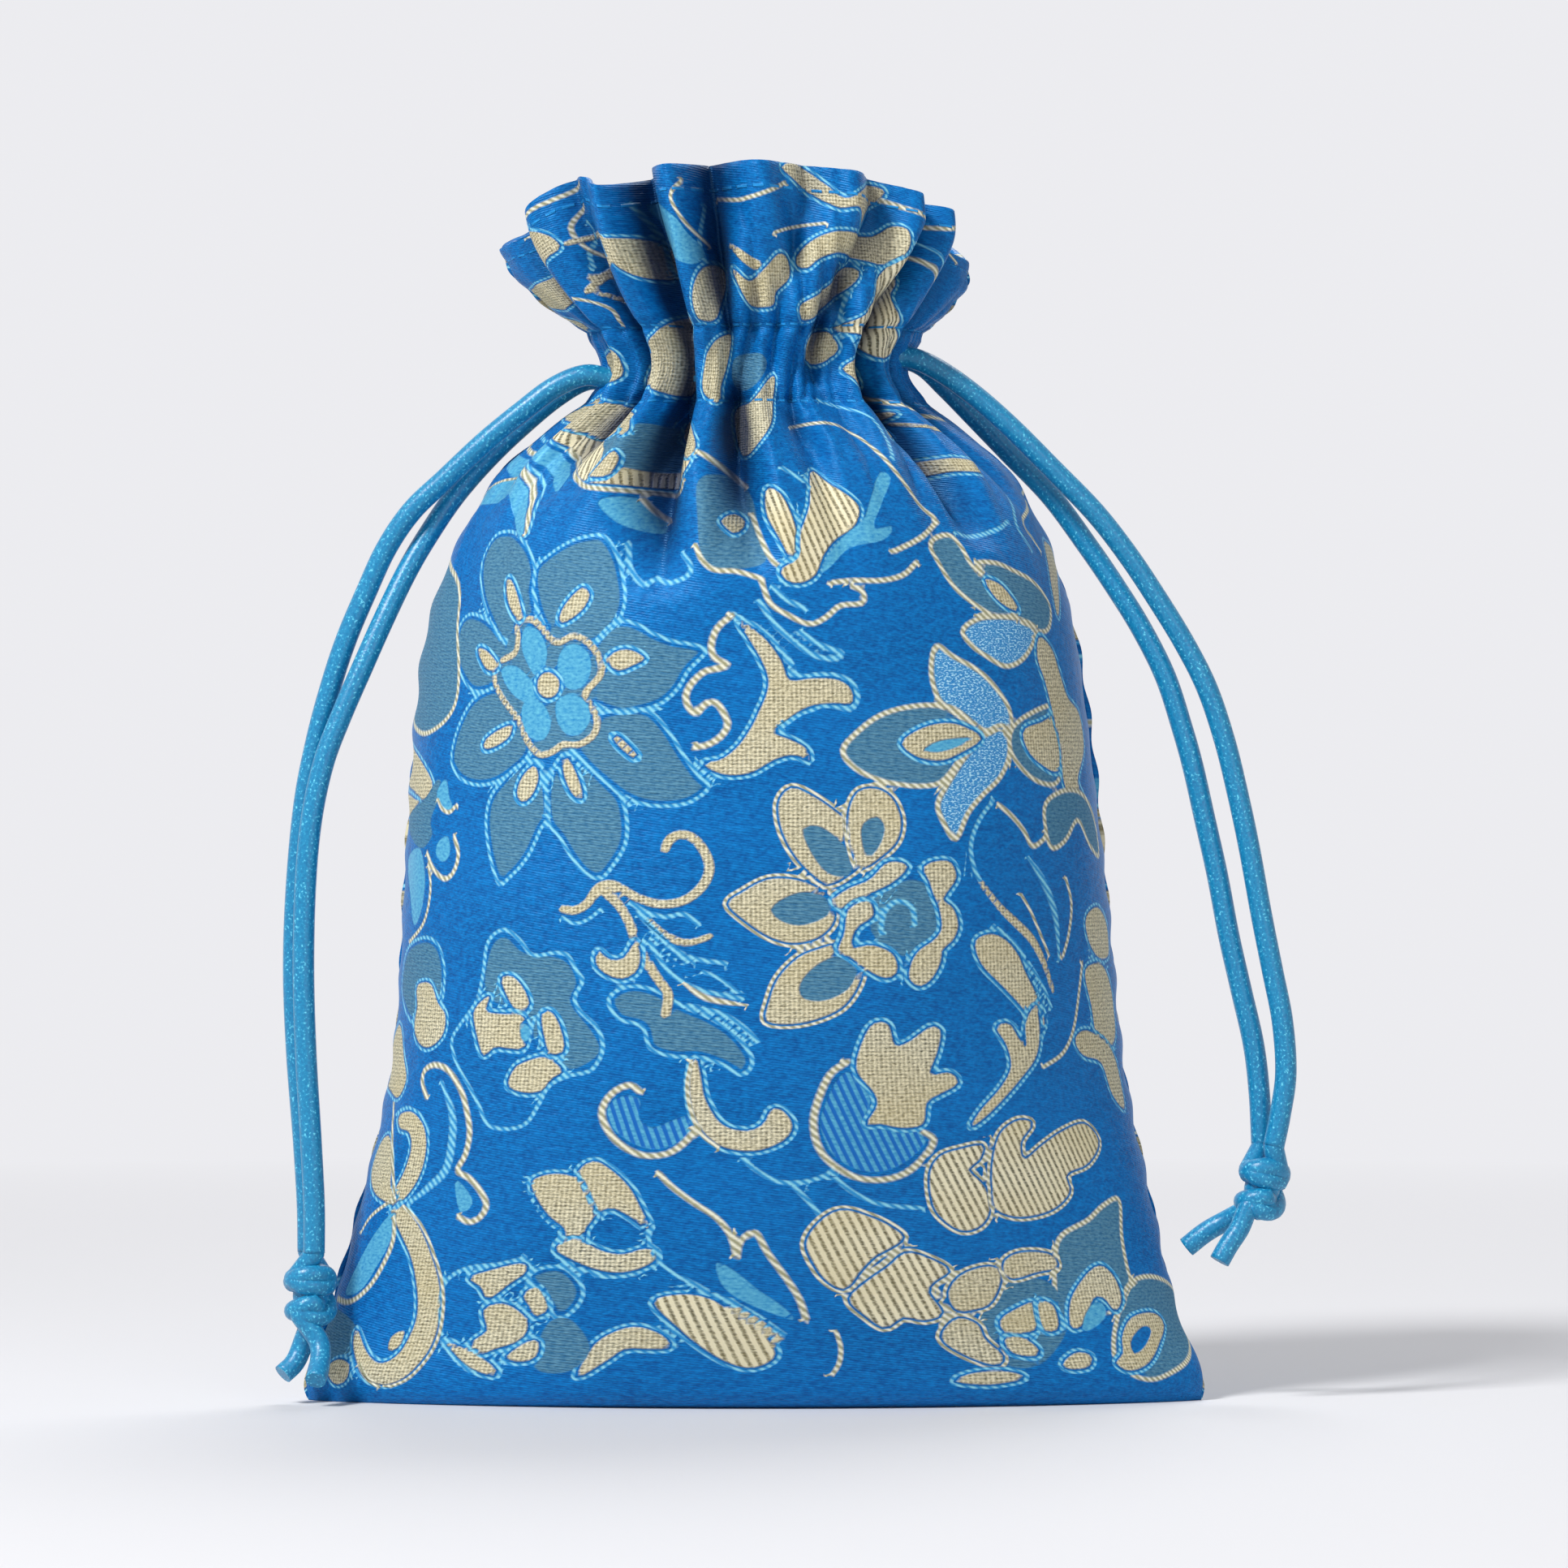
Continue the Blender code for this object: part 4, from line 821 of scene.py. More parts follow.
        700,1318, 670,1300, 640,1250, 600,1225)),
    ("ring sky", (601,1161, 620,1145, 639,1158, 655,1177, 681,1174, 697,1177, 708,1196, 716,1209,
        706,1228, 712,1245, 735,1268, 741,1294, 727,1319, 702,1325, 677,1337, 662,1362, 648,1384,
        626,1391, 601,1386, 590,1362, 580,1341, 565,1312, 558,1283, 569,1262, 588,1234,
        596,1200)),
    ("gold", (618,1206, 632,1204, 646,1222, 650,1240, 636,1244, 626,1230)),
    ("gold", (585,1250, 592,1236, 604,1228, 600,1246, 625,1250, 640,1250, 648,1265, 645,1290,
        630,1292, 610,1290, 597,1300, 590,1280)),
    ("gold", (666,1251, 677,1247, 688,1265, 693,1294, 677,1298, 670,1280)),
    ("gold", (626,1337, 634,1316, 648,1308, 670,1303, 691,1319, 677,1330, 666,1344, 644,1346)),
    ("sky", (640,1262, 650,1264, 652,1280, 642,1282)),
    # leaves at the left edge
    ("petal cream", (520,690, 545,690, 554,720, 552,780, 556,830, 552,870, 534,895, 514,903,
        505,880, 500,800)),
    ("gold", (498,925, 510,930, 525,955, 530,975, 520,985, 508,975, 500,960)),
    ("gold", (498,978, 510,986, 520,1000, 505,1006, 498,1000)),
    ("petal", (500,1010, 520,985, 535,960, 540,975, 528,1010, 530,1030, 515,1045)),
    ("sky", (535,975, 545,960, 550,985, 556,995, 545,998, 537,990)),
    ("line cream 5", (536,985, 541,996, 550,1001, 558,992)),
    ("sky", (536,1040, 548,1030, 552,1050, 545,1062, 536,1055)),
    ("line cream 6", (524,1050, 532,1070, 546,1083, 557,1074, 562,1052, 556,1030)),
    ("sky", (500,1060, 515,1045, 522,1080, 518,1120, 508,1140, 503,1100)),
    ("line cream 5", (526,1066, 529,1090, 526,1119, 518,1142, 502,1161)),
    ("petal sky", (495,1180, 505,1162, 525,1155, 540,1165, 548,1190, 548,1220, 542,1250,
        520,1265, 500,1255, 490,1220)),
    ("gold", (512,1215, 530,1212, 540,1235, 550,1250, 547,1275, 530,1290, 515,1285, 508,1265,
        512,1240)),
    # blue and gold scrolls
    ("sky ribbed", (750,1360, 770,1350, 787,1356, 786,1378, 803,1390, 830,1380, 850,1375,
        853,1392, 835,1408, 810,1416, 785,1412, 762,1398, 748,1380)),
    ("line cream 7", (788,1346, 774,1337, 752,1348, 740,1370, 749,1395, 767,1413, 792,1424,
        821,1422, 842,1409, 860,1388)),
    ("gold", (858,1306, 863,1328, 868,1354, 888,1385, 919,1394, 941,1385, 950,1368, 963,1368,
        976,1385, 968,1403, 941,1416, 915,1418, 888,1412, 866,1394, 853,1368, 849,1337,
        853,1310)),
    ("line cream 4", (852,1306, 846,1337, 851,1370, 864,1398, 888,1416)),
    ("line sky 5", (915,1427, 932,1442, 959,1456, 990,1456, 1016,1449, 1030,1438)),
    ("line sky 5", (976,1460, 998,1482, 1012,1500)),
    ("line sky 5", (1029,1451, 1051,1469, 1086,1484, 1139,1489)),
    # flame leaf
    ("gold", (1230,1266, 1246,1262, 1258,1280, 1268,1290, 1266,1262, 1278,1240, 1284,1270,
        1280,1302, 1262,1328, 1240,1354, 1218,1376, 1200,1388, 1214,1366, 1236,1341, 1249,1315,
        1243,1288)),
    # striped bud
    ("sky ribbed", (1034,1328, 1056,1322, 1073,1346, 1069,1385, 1086,1390, 1122,1390, 1144,1403,
        1126,1425, 1095,1442, 1060,1442, 1029,1425, 1016,1403, 1012,1376)),
    ("line cream 7", (1046,1308, 1025,1322, 1012,1346, 1003,1376, 1005,1403, 1016,1425,
        1038,1443, 1064,1453, 1095,1453, 1122,1443, 1144,1422, 1153,1404, 1136,1393)),
    ("gold", (1056,1315, 1073,1266, 1095,1262, 1104,1288, 1122,1284, 1148,1266, 1161,1271,
        1157,1297, 1148,1324, 1172,1322, 1183,1335, 1157,1350, 1144,1359, 1139,1385, 1113,1390,
        1086,1385, 1069,1385, 1082,1363, 1078,1346)),
    # two gold buds at the lower right
    ("gold ribbed outlined", (1148,1447, 1161,1425, 1188,1416, 1214,1412, 1210,1429, 1196,1442,
        1214,1460, 1223,1486, 1214,1508, 1192,1517, 1170,1508, 1152,1486)),
    ("gold ribbed outlined", (1227,1434, 1236,1398, 1258,1381, 1276,1385, 1262,1407, 1267,1429,
        1289,1412, 1315,1394, 1342,1385, 1359,1407, 1346,1434, 1320,1447, 1324,1469, 1302,1491,
        1262,1500, 1232,1491, 1227,1469)),
    ("gold ribbed outlined", (994,1530, 1012,1504, 1038,1491, 1073,1500, 1100,1513, 1113,1526,
        1095,1539, 1078,1548, 1060,1566, 1042,1588, 1020,1579, 1003,1557)),
    ("gold ribbed outlined", (1047,1601, 1069,1579, 1095,1561, 1117,1544, 1148,1552, 1170,1566,
        1152,1579, 1144,1592, 1161,1618, 1139,1627, 1113,1623, 1091,1636, 1069,1623)),
    # scalloped flower at the lower right
    ("petal cream", (1306,1548, 1315,1522, 1346,1504, 1364,1486, 1383,1478, 1386,1522, 1394,1566,
        1403,1592, 1386,1612, 1350,1622, 1324,1636, 1306,1614)),
    ("petal cream", (1399,1579, 1430,1574, 1456,1596, 1469,1627, 1469,1667, 1447,1690, 1416,1700,
        1381,1684, 1375,1650, 1385,1610)),
    ("petal", (1208,1625, 1225,1595, 1250,1580, 1285,1576, 1308,1592, 1318,1625, 1312,1650,
        1285,1680, 1250,1685, 1215,1665)),
    ("gold outlined", (1170,1592, 1188,1570, 1223,1561, 1236,1574, 1223,1605, 1201,1614,
        1179,1614)),
    ("gold outlined", (1240,1556, 1262,1544, 1298,1546, 1308,1562, 1282,1568, 1249,1576)),
    ("gold outlined", (1161,1649, 1179,1625, 1205,1632, 1214,1650, 1236,1671, 1227,1682,
        1192,1671)),
    ("gold", (1236,1625, 1262,1610, 1279,1606, 1290,1625, 1275,1640, 1255,1642, 1238,1640)),
    ("gold", (1284,1604, 1302,1610, 1307,1636, 1291,1640, 1284,1623)),
    ("gold", (1240,1649, 1262,1649, 1280,1662, 1276,1671, 1249,1667)),
    ("gold", (1322,1632, 1325,1600, 1345,1570, 1362,1560, 1378,1575, 1386,1600, 1378,1615,
        1365,1600, 1352,1600, 1342,1625, 1331,1637)),
    ("sky", (1340,1622, 1352,1606, 1364,1608, 1366,1622, 1352,1636, 1338,1640)),
    ("gold", (1386,1645, 1399,1623, 1425,1618, 1438,1632, 1430,1658, 1416,1680, 1394,1689,
        1377,1680, 1386,1667)),
    ("ground", (1396,1652, 1410,1635, 1422,1638, 1414,1658, 1400,1668)),
    ("gold", (1311,1680, 1328,1667, 1346,1671, 1342,1684, 1320,1687)),
    # gold bud at the lower left
    ("gold", (655,1456, 677,1447, 702,1449, 720,1460, 727,1478, 731,1499, 720,1514, 716,1532,
        698,1532, 695,1514, 677,1499, 662,1478)),
    ("gold", (713,1442, 731,1431, 752,1442, 774,1463, 788,1488, 799,1514, 774,1498, 752,1488,
        738,1492, 727,1470, 720,1456)),
    ("gold", (684,1539, 702,1528, 720,1532, 742,1542, 767,1546, 792,1539, 806,1542, 806,1553,
        785,1564, 760,1568, 734,1564, 706,1553)),
    ("line sky 4", (797,1516, 806,1548, 839,1575, 878,1593, 904,1602)),
    ("line cyan 3", (650,1450, 655,1480, 674,1506, 690,1520, 678,1540, 706,1562, 740,1574,
        785,1572)),
    # leaf with a zigzag edge, and the gold leaf under it
    ("line cream 6", (810,1445, 828,1463, 857,1484, 882,1500, 900,1522, 908,1550)),
    ("line cream 6", (908,1550, 912,1530, 930,1518, 946,1544, 968,1574, 985,1601, 994,1628)),
    ("sky", (883,1556, 905,1566, 935,1590, 962,1608, 978,1626, 940,1614, 905,1597, 888,1580)),
    ("line sky 5", (840,1574, 875,1592, 928,1618, 968,1646)),
    ("gold ribbed", (806,1604, 842,1595, 878,1602, 910,1625, 941,1645, 955,1670, 930,1685,
        900,1680, 865,1660, 835,1635)),
    ("stem gold 8", (905,1612, 935,1630, 962,1652)),
    ("gold", (712,1696, 730,1660, 755,1642, 785,1635, 815,1645, 825,1660, 800,1662, 770,1662,
        748,1676)),
    ("gold", (1178,1702, 1200,1692, 1240,1690, 1262,1698, 1220,1706)),
    ("line cream 4", (1030,1640, 1036,1660, 1034,1680, 1024,1696)),
    # loops at the lower left
    ("petal", (392,1640, 405,1612, 425,1622, 440,1650, 435,1690, 410,1706, 385,1692, 378,1665)),
    ("gold", (402,1685, 415,1675, 428,1682, 425,1700, 410,1705)),
    ("gold", (486,1480, 510,1508, 528,1550, 538,1590, 536,1635, 522,1670, 500,1695, 475,1706,
        452,1700, 438,1680, 432,1655, 436,1638, 448,1665, 465,1680, 485,1672, 500,1650, 510,1620,
        508,1580, 500,1545, 485,1510, 478,1490)),
    ("line cream 4", (488,1480, 514,1508, 532,1550, 542,1590, 540,1636, 526,1672, 503,1698,
        476,1710)),
    ("gold", (478,1648, 494,1640, 488,1660, 476,1664)),
    ("gold", (488,1375, 505,1370, 520,1385, 524,1410, 518,1440, 505,1465, 488,1482, 482,1470,
        495,1445, 505,1415, 502,1395, 490,1390)),
    ("line cyan 4", (484,1372, 498,1364, 516,1372, 528,1392)),
    ("gold", (462,1410, 475,1400, 480,1430, 478,1460, 486,1485, 470,1480, 455,1465, 452,1440)),
    ("line cream 6", (475,1308, 479,1348, 479,1391, 481,1442, 483,1481)),
    ("gold", (486,1262, 493,1305, 497,1330, 486,1352, 475,1344, 472,1312)),
    ("sky", (480,1494, 458,1520, 436,1560, 422,1594, 440,1590, 460,1560, 476,1530, 484,1505)),
    ("line cream 7", (482,1500, 480,1528, 468,1557, 450,1586, 428,1604, 412,1600)),
    ("line cream 5", (478,1480, 452,1500, 440,1520)),
    ("line cream 5", (440,1680, 452,1700, 464,1716)),
    # cyan scroll
    ("stem sky 12", (545,1332, 557,1370, 556,1406, 547,1442, 524,1464, 502,1482)),
    ("line cream 7", (526,1352, 520,1334, 523,1319, 537,1312, 554,1319, 569,1344, 576,1373,
        578,1398, 572,1424, 562,1442, 577,1452, 590,1467, 598,1485, 590,1500, 576,1506,
        562,1499)),
    ("sky", (560,1454, 576,1470, 580,1485, 566,1494, 560,1476)),
    # flower at the lower left
    ("petal sky", (650,1575, 665,1563, 690,1561, 710,1575, 718,1594, 706,1615, 685,1625,
        672,1605)),
    ("petal", (675,1630, 700,1625, 722,1648, 725,1670, 700,1690, 665,1690, 655,1670)),
    ("line cyan 5", (646,1550, 612,1558, 576,1562, 551,1574, 540,1593, 539,1622, 543,1650,
        558,1674, 583,1690)),
    ("gold", (576,1575, 594,1568, 641,1557, 646,1568, 626,1582, 612,1593, 598,1600, 590,1586)),
    ("gold", (594,1614, 619,1607, 644,1622, 648,1640, 634,1654, 612,1661, 590,1668, 580,1654,
        598,1640)),
    ("gold", (644,1596, 659,1586, 670,1600, 673,1614, 659,1622, 652,1611)),
    ("gold", (623,1672, 648,1654, 662,1654, 659,1672, 641,1678)),
    ("gold", (547,1654, 576,1665, 605,1683, 609,1695, 583,1688, 562,1672)),
    # neck and ruffle
    ("line gold 9", (655,300, 672,318, 664,340, 676,362, 700,372)),
    ("line cyan 6", (640,262, 660,290, 668,330, 660,352)),
    ("line cream 6", (700,250, 690,280, 712,310, 742,318)),
    ("gold", (742,296, 772,292, 800,306, 814,332, 792,342, 765,328)),
    ("stem gold 10", (690,300, 715,288, 745,294, 758,316, 742,336, 716,340)),
    ("line cyan 6", (760,248, 786,290, 800,330, 828,352)),
    ("line cream 5", (712,368, 742,378, 760,402)),
    ("stem gold 14", (898,300, 925,322, 962,338)),
    ("line cyan 5", (1050,360, 1040,400, 1050,440)),
    ("stem cream 10", (1128,300, 1150,330, 1140,370, 1118,400)),
    ("gold", (1000,415, 1025,408, 1032,432, 1010,448, 996,436)),
    ("line cyan 6", (1010,492, 1060,510, 1086,536, 1098,566)),
    ("stem gold 10", (1122,522, 1160,530, 1192,542)),
    ("line cream 5", (600,520, 622,500, 650,488, 690,478)),
    ("gold", (742,440, 760,430, 772,448, 766,470, 748,468)),
    ("line cyan 5", (862,250, 858,300, 872,330)),
    ("gold", (820,393, 846,389, 850,410, 842,444, 846,470, 829,487, 803,474, 782,474, 790,444,
        808,423)),
    ("gold", (880,423, 897,410, 897,436, 889,470, 884,496, 867,479, 872,444)),
    ("gold", (905,500, 925,495, 945,470, 955,465, 952,495, 950,520, 935,545, 915,560, 903,540,
        900,515)),
    ("petal", (905,440, 935,435, 945,450, 930,475, 910,480, 900,465)),
    ("gold", (1034,453, 1059,440, 1074,474, 1062,482, 1045,468)),
    ("line cream 8", (1072,483, 1098,496, 1140,508, 1179,521)),
    ("gold", (1096,512, 1110,508, 1112,530, 1100,540, 1092,528)),
    ("gold", (637,287, 667,287, 688,304, 675,321, 675,351, 688,381, 667,389, 654,363, 658,329,
        641,308)),
    ("line cream 6", (620,287, 654,262, 680,240, 697,223)),
    ("gold", (690,405, 712,400, 722,418, 706,430)),
    ("stem gold 11", (722,360, 727,335, 745,322, 764,318)),
    ("stem gold 9", (728,360, 750,371, 764,386)),
    ("sky", (769,248, 795,245, 829,265, 846,287, 863,308, 855,325, 829,317, 803,291)),
    ("line cream 5", (838,222, 826,240, 834,260, 850,282, 868,300)),
    ("line sky 6", (700,270, 712,285, 708,310, 716,330)),
    ("gold", (863,329, 880,325, 889,342, 884,372, 880,393, 863,393, 855,368)),
    ("gold", (901,329, 923,346, 944,329, 961,312, 974,321, 974,342, 957,359, 953,376, 927,376,
        914,359)),
    ("gold", (985,320, 1000,298, 1030,285, 1060,287, 1090,290, 1110,278, 1120,285, 1115,310,
        1095,325, 1070,318, 1040,310, 1010,318, 995,330)),
    ("gold", (985,378, 1010,362, 1035,345, 1052,328, 1065,335, 1050,355, 1025,375, 1005,390,
        990,394)),
    ("gold ribbed", (1085,342, 1115,317, 1128,321, 1123,346, 1110,368, 1106,402, 1093,436,
        1076,440, 1068,419, 1034,406, 1059,389, 1076,368)),
    ("gold", (965,204, 987,200, 1017,222, 1042,244, 1062,235, 1085,226, 1105,232, 1100,245,
        1080,258, 1070,275, 1058,255, 1035,255, 1008,238, 985,222)),
    ("line cream 7", (1102,244, 1136,265, 1170,282, 1187,299, 1194,325)),
    ("line cyan 5", (1123,300, 1153,299, 1158,329, 1140,363)),
    ("line cream 5", (876,240, 914,244, 948,235, 970,223)),
    ("line cream 4", (953,287, 982,278, 1021,274)),
)
print(len(SHAPES), "woven shapes")

# %% [markdown]
# ## From the picture to the flat cloth
# The panel without its folds is seen through the camera once. For a pixel, the nearest point
# of the cloth is found there and then refined with the slopes of its neighbours.

# %% Flat places of the shapes
FLAT = np.stack(np.meshgrid(np.linspace(0, CLOTH_WIDTH, COLUMNS + 1), ROW["along"] / MM), axis=-1)
plain = cloth_points(-1, FRONT_CREASES, FRONT_HEM_DROP, 3, folded=False)
nearer = CAMERA_DISTANCE / (CAMERA_DISTANCE + plain[..., 1])
SEEN = np.stack((
    PICTURE / 2 + (plain[..., 0] - camera.location.x) * nearer * PIXELS_PER_MM / MM,
    PICTURE / 2 - (plain[..., 2] - camera.location.z) * nearer * PIXELS_PER_MM / MM), axis=-1)
walls = slice(int(np.searchsorted(ROW["q"], 1.02)), ROWS)


def on_cloth(pixels):
    """Places in the flat cloth, in millimetres, of an array of pixels."""
    found = []
    seen, flat = SEEN[walls], FLAT[walls]
    for x, y in pixels:
        r, c = np.unravel_index(np.argmin((seen[..., 0] - x) ** 2 + (seen[..., 1] - y) ** 2),
                                seen.shape[:2])
        r, c = min(max(r, 1), seen.shape[0] - 2), min(max(c, 1), COLUMNS - 1)
        slopes = np.stack((seen[r, c + 1] - seen[r, c - 1], seen[r + 1, c] - seen[r - 1, c]),
                          axis=1) / 2
        step = np.clip(np.linalg.lstsq(slopes, (x, y) - seen[r, c], rcond=None)[0], -2, 2)
        found.append(flat[r, c] + step * (flat[r, c + 1, 0] - flat[r, c, 0],
                                          flat[r + 1, c, 1] - flat[r, c, 1]))
    return np.array(found)


def rounded_line(points, closed, fineness=4):
    """A Catmull-Rom curve through points, as an array."""
    if closed:
        p = np.concatenate((points[-1:], points, points[:2]))
    else:
        p = np.concatenate((2 * points[:1] - points[1:2], points, 2 * points[-1:] - points[-2:-1]))
    t = (np.arange(fineness) / fineness)[None, :, None]
    a, b, c, d = (p[k:len(p) - 3 + k][:, None] for k in range(4))
    curve = 0.5 * (2 * b + (c - a) * t + (2 * a - 5 * b + 4 * c - d) * t ** 2
                   + (3 * b - a - 3 * c + d) * t ** 3)
    curve = curve.reshape(-1, 2)
    return curve if closed else np.concatenate((curve, points[-1:]))


def line_distance(spots, line, closed):
    """Distance from spots to a line, below zero inside or on one side, and the place along it."""
    ends = np.roll(line, -1, axis=0) if closed else line[1:]
    starts = line if closed else line[:-1]
    best = np.full(len(spots), 1e9)
    along = np.zeros(len(spots))
    side = np.ones(len(spots))
    inside = np.zeros(len(spots), bool)
    for k, (a, b) in enumerate(zip(starts, ends)):
        way = b - a
        t = np.clip(((spots - a) @ way) / max(way @ way, 1e-9), 0, 1)
        off = spots - a - t[:, None] * way
        gap = np.linalg.norm(off, axis=1)
        nearer_one = gap < best
        best = np.where(nearer_one, gap, best)
        along = np.where(nearer_one, (k + t) / len(starts), along)
        side = np.where(nearer_one, np.where(way[0] * off[:, 1] > way[1] * off[:, 0], 1, -1), side)
        crosses = (a[1] > spots[:, 1]) != (b[1] > spots[:, 1])
        if way[1]:
            inside ^= crosses & (spots[:, 0] < a[0] + (spots[:, 1] - a[1]) / way[1] * way[0])
    side = np.where((along > 0) & (along < 1), side, 1)
    return (np.where(inside, -best, best) if closed else best * side), along


flat_shapes = [(words.split(), on_cloth(np.array(numbers, float).reshape(-1, 2)))
               for words, numbers in SHAPES]
print("shapes span %.0f to %.0f mm along the cloth" % (
    min(p[:, 1].min() for k, p in flat_shapes), max(p[:, 1].max() for k, p in flat_shapes)))

# %% [markdown]
# ## Laying the threads
# Each panel keeps one number per thread and point: the distance to its edge in millimetres,
# below zero inside. A thin outline would fall between two points of the cloth, so it keeps a
# signed distance instead, in half widths, which changes evenly across the line, and the shader
# draws it where that is small. The back is cut from the same cloth a little further on. It
# isn't in the photograph, so the body's flowers are simply repeated on it.

# %% Thread distances
THREADS = ("gold", "petal", "sky", "cyan", "cream")
FAR, OUTLINE_BAND, MEETING = 3.0, 0.62, 1.3
OUTLINE_HALF = {"cyan": 0.21, "cream": 0.29}
SMALL_SHAPE, SMALL_GAP, SMALL_HALF, THINNEST = 2.6, 0.42, 0.16, 0.36
BACK_SHIFT, BACK_REPEAT, LOWEST = (55, -31), 92, 12


def lay_thread(fields, near, thread, area):
    """Fills an area with a thread and takes it out of the others."""
    for other in THREADS:
        if other != thread:
            fields[other][near] = np.maximum(fields[other][near], -area)
    if thread != "ground":
        fields[thread][near] = np.minimum(fields[thread][near], area)


def lay_outline(fields, near, thread, away, half):
    """An outline keeps its distance in half widths where it is the nearest one.

    Only the size of the distance is drawn, so its sign is chosen to agree with its neighbour's.
    """
    gap, side = fields[thread + "_gap"], fields[thread + "_side"]
    meeting = (gap[near] < MEETING) & (np.abs(away) < MEETING)
    if (side[near] * away)[meeting].sum() < 0:
        away = -away
    closer = np.abs(away) < gap[near]
    side[near] = np.where(closer, away / half, side[near])
    gap[near] = np.where(closer, np.abs(away), gap[near])
    fields[thread][near] = np.minimum(fields[thread][near], np.abs(away) - OUTLINE_BAND)


def paint(fields, near, words, closed, line):
    """Lays one shape."""
    away, along = line_distance(FLAT[near], line, closed)
    kind, thread = words[0], words[1] if len(words) > 1 else ""
    if kind in ("line", "stem", "ring"):
        pixels = float(words[2]) if len(words) > 2 else 8.0 if thread == "gold" else 4.5
        half = pixels / PIXELS_PER_MM / 2
        if kind == "stem":
            half = half * np.sqrt(np.clip(np.sin(pi * np.clip(along, 0.06, 0.94)), 0, 1))
        if thread in ("gold", "ground"):
            lay_thread(fields, near, thread, np.abs(away) - np.maximum(half, THINNEST))
        else:
            lay_outline(fields, near, "cyan" if thread == "sky" else thread, away, half)
        return
    if kind in ("petal", "beads"):
        edge = 0.0 if not thread else 0.62 if kind == "petal" and thread != "cream" else 0.30
        lay_thread(fields, near, "ground", away)
        lay_thread(fields, near, "sky" if kind == "beads" else "petal", away + edge)
        if thread:
            outline = "cream" if thread == "cream" else "cyan"
            lay_outline(fields, near, outline, away, OUTLINE_HALF[outline])
    else:
        if "outlined" in words or (kind == "gold" and np.ptp(line, axis=0).max() > SMALL_SHAPE):
            lay_thread(fields, near, "ground", away - 0.6)
            outline = "cream" if "outlined" in words else "cyan"
            lay_outline(fields, near, outline, away - SMALL_GAP, SMALL_HALF)
        lay_thread(fields, near, kind, away)
    for name in ("ribbed", "beads"):
        fields[name][near] = np.where(away < 0.3, float(name in words), fields[name][near])


def lay_threads(shift, repeat):
    """All threads of one panel. With a repeat, only the body's shapes are used, over and over."""
    fields = {name: np.full(FLAT.shape[:2], FAR) for name in THREADS}
    for name in OUTLINE_HALF:
        for end in ("_gap", "_side"):
            fields[name + end] = np.full(FLAT.shape[:2], 9.0)
    for name in ("ribbed", "beads"):
        fields[name] = np.zeros(FLAT.shape[:2])
    turns = (-1, 0, 1, 2) if repeat else (0,)
    for words, points in flat_shapes:
        if repeat and not LOWEST < points[:, 1].mean() < LOWEST + repeat:
            continue
        closed = words[0] not in ("line", "stem")
        line = rounded_line(points, closed)
        low, high = line.min(axis=0) - FAR, line.max(axis=0) + FAR
        for across in turns:
            for along in turns:
                by = np.array(shift) + (across * CLOTH_WIDTH, along * repeat)
                near = np.all((FLAT > low + by) & (FLAT < high + by), axis=-1)
                if near.any():
                    paint(fields, near, words, closed, line + by)
    return fields


for piece, shift, repeat in ((front, (0, 0), 0), (back, BACK_SHIFT, BACK_REPEAT)):
    fields = lay_threads(shift, repeat)
    for name, field in fields.items():
        if not name.endswith("_gap"):
            layer = piece.data.attributes.new(name, 'FLOAT', 'POINT')
            values = np.clip(np.tile(field.ravel(), 2), -8, 8)
            layer.data.foreach_set("value", values.astype(np.float32))
    print(piece.name, "gold covers %.0f %%" % (100 * (fields["gold"] < 0).mean()))

# %% [markdown]
# ## Writing materials as sums
# Node trees are easier to read as expressions. One small class wraps a socket, so that
# mask * 0.5 + 1 adds its Math nodes, and one method makes every other kind of node.

# %% Shader helpers
class Value:
    """A number in a node tree that can be used in sums."""

    def __init__(self, finish, socket):
        self.finish, self.socket = finish, socket

    def sum(self, operation, first, second):
        return self.finish.node("ShaderNodeMath", {"operation": operation}, {0: first, 1: second})

    def __add__(self, other):
        return self.sum("ADD", self, other)

    def __sub__(self, other):
        return self.sum("SUBTRACT", self, other)

    def __rsub__(self, other):
        return self.sum("SUBTRACT", other, self)

    def __mul__(self, other):
        return self.sum("MULTIPLY", self, other)

    def __truediv__(self, other):
        return self.sum("DIVIDE", self, other)

    def __rtruediv__(self, other):
        return self.sum("DIVIDE", other, self)

    __radd__, __rmul__ = __add__, __mul__


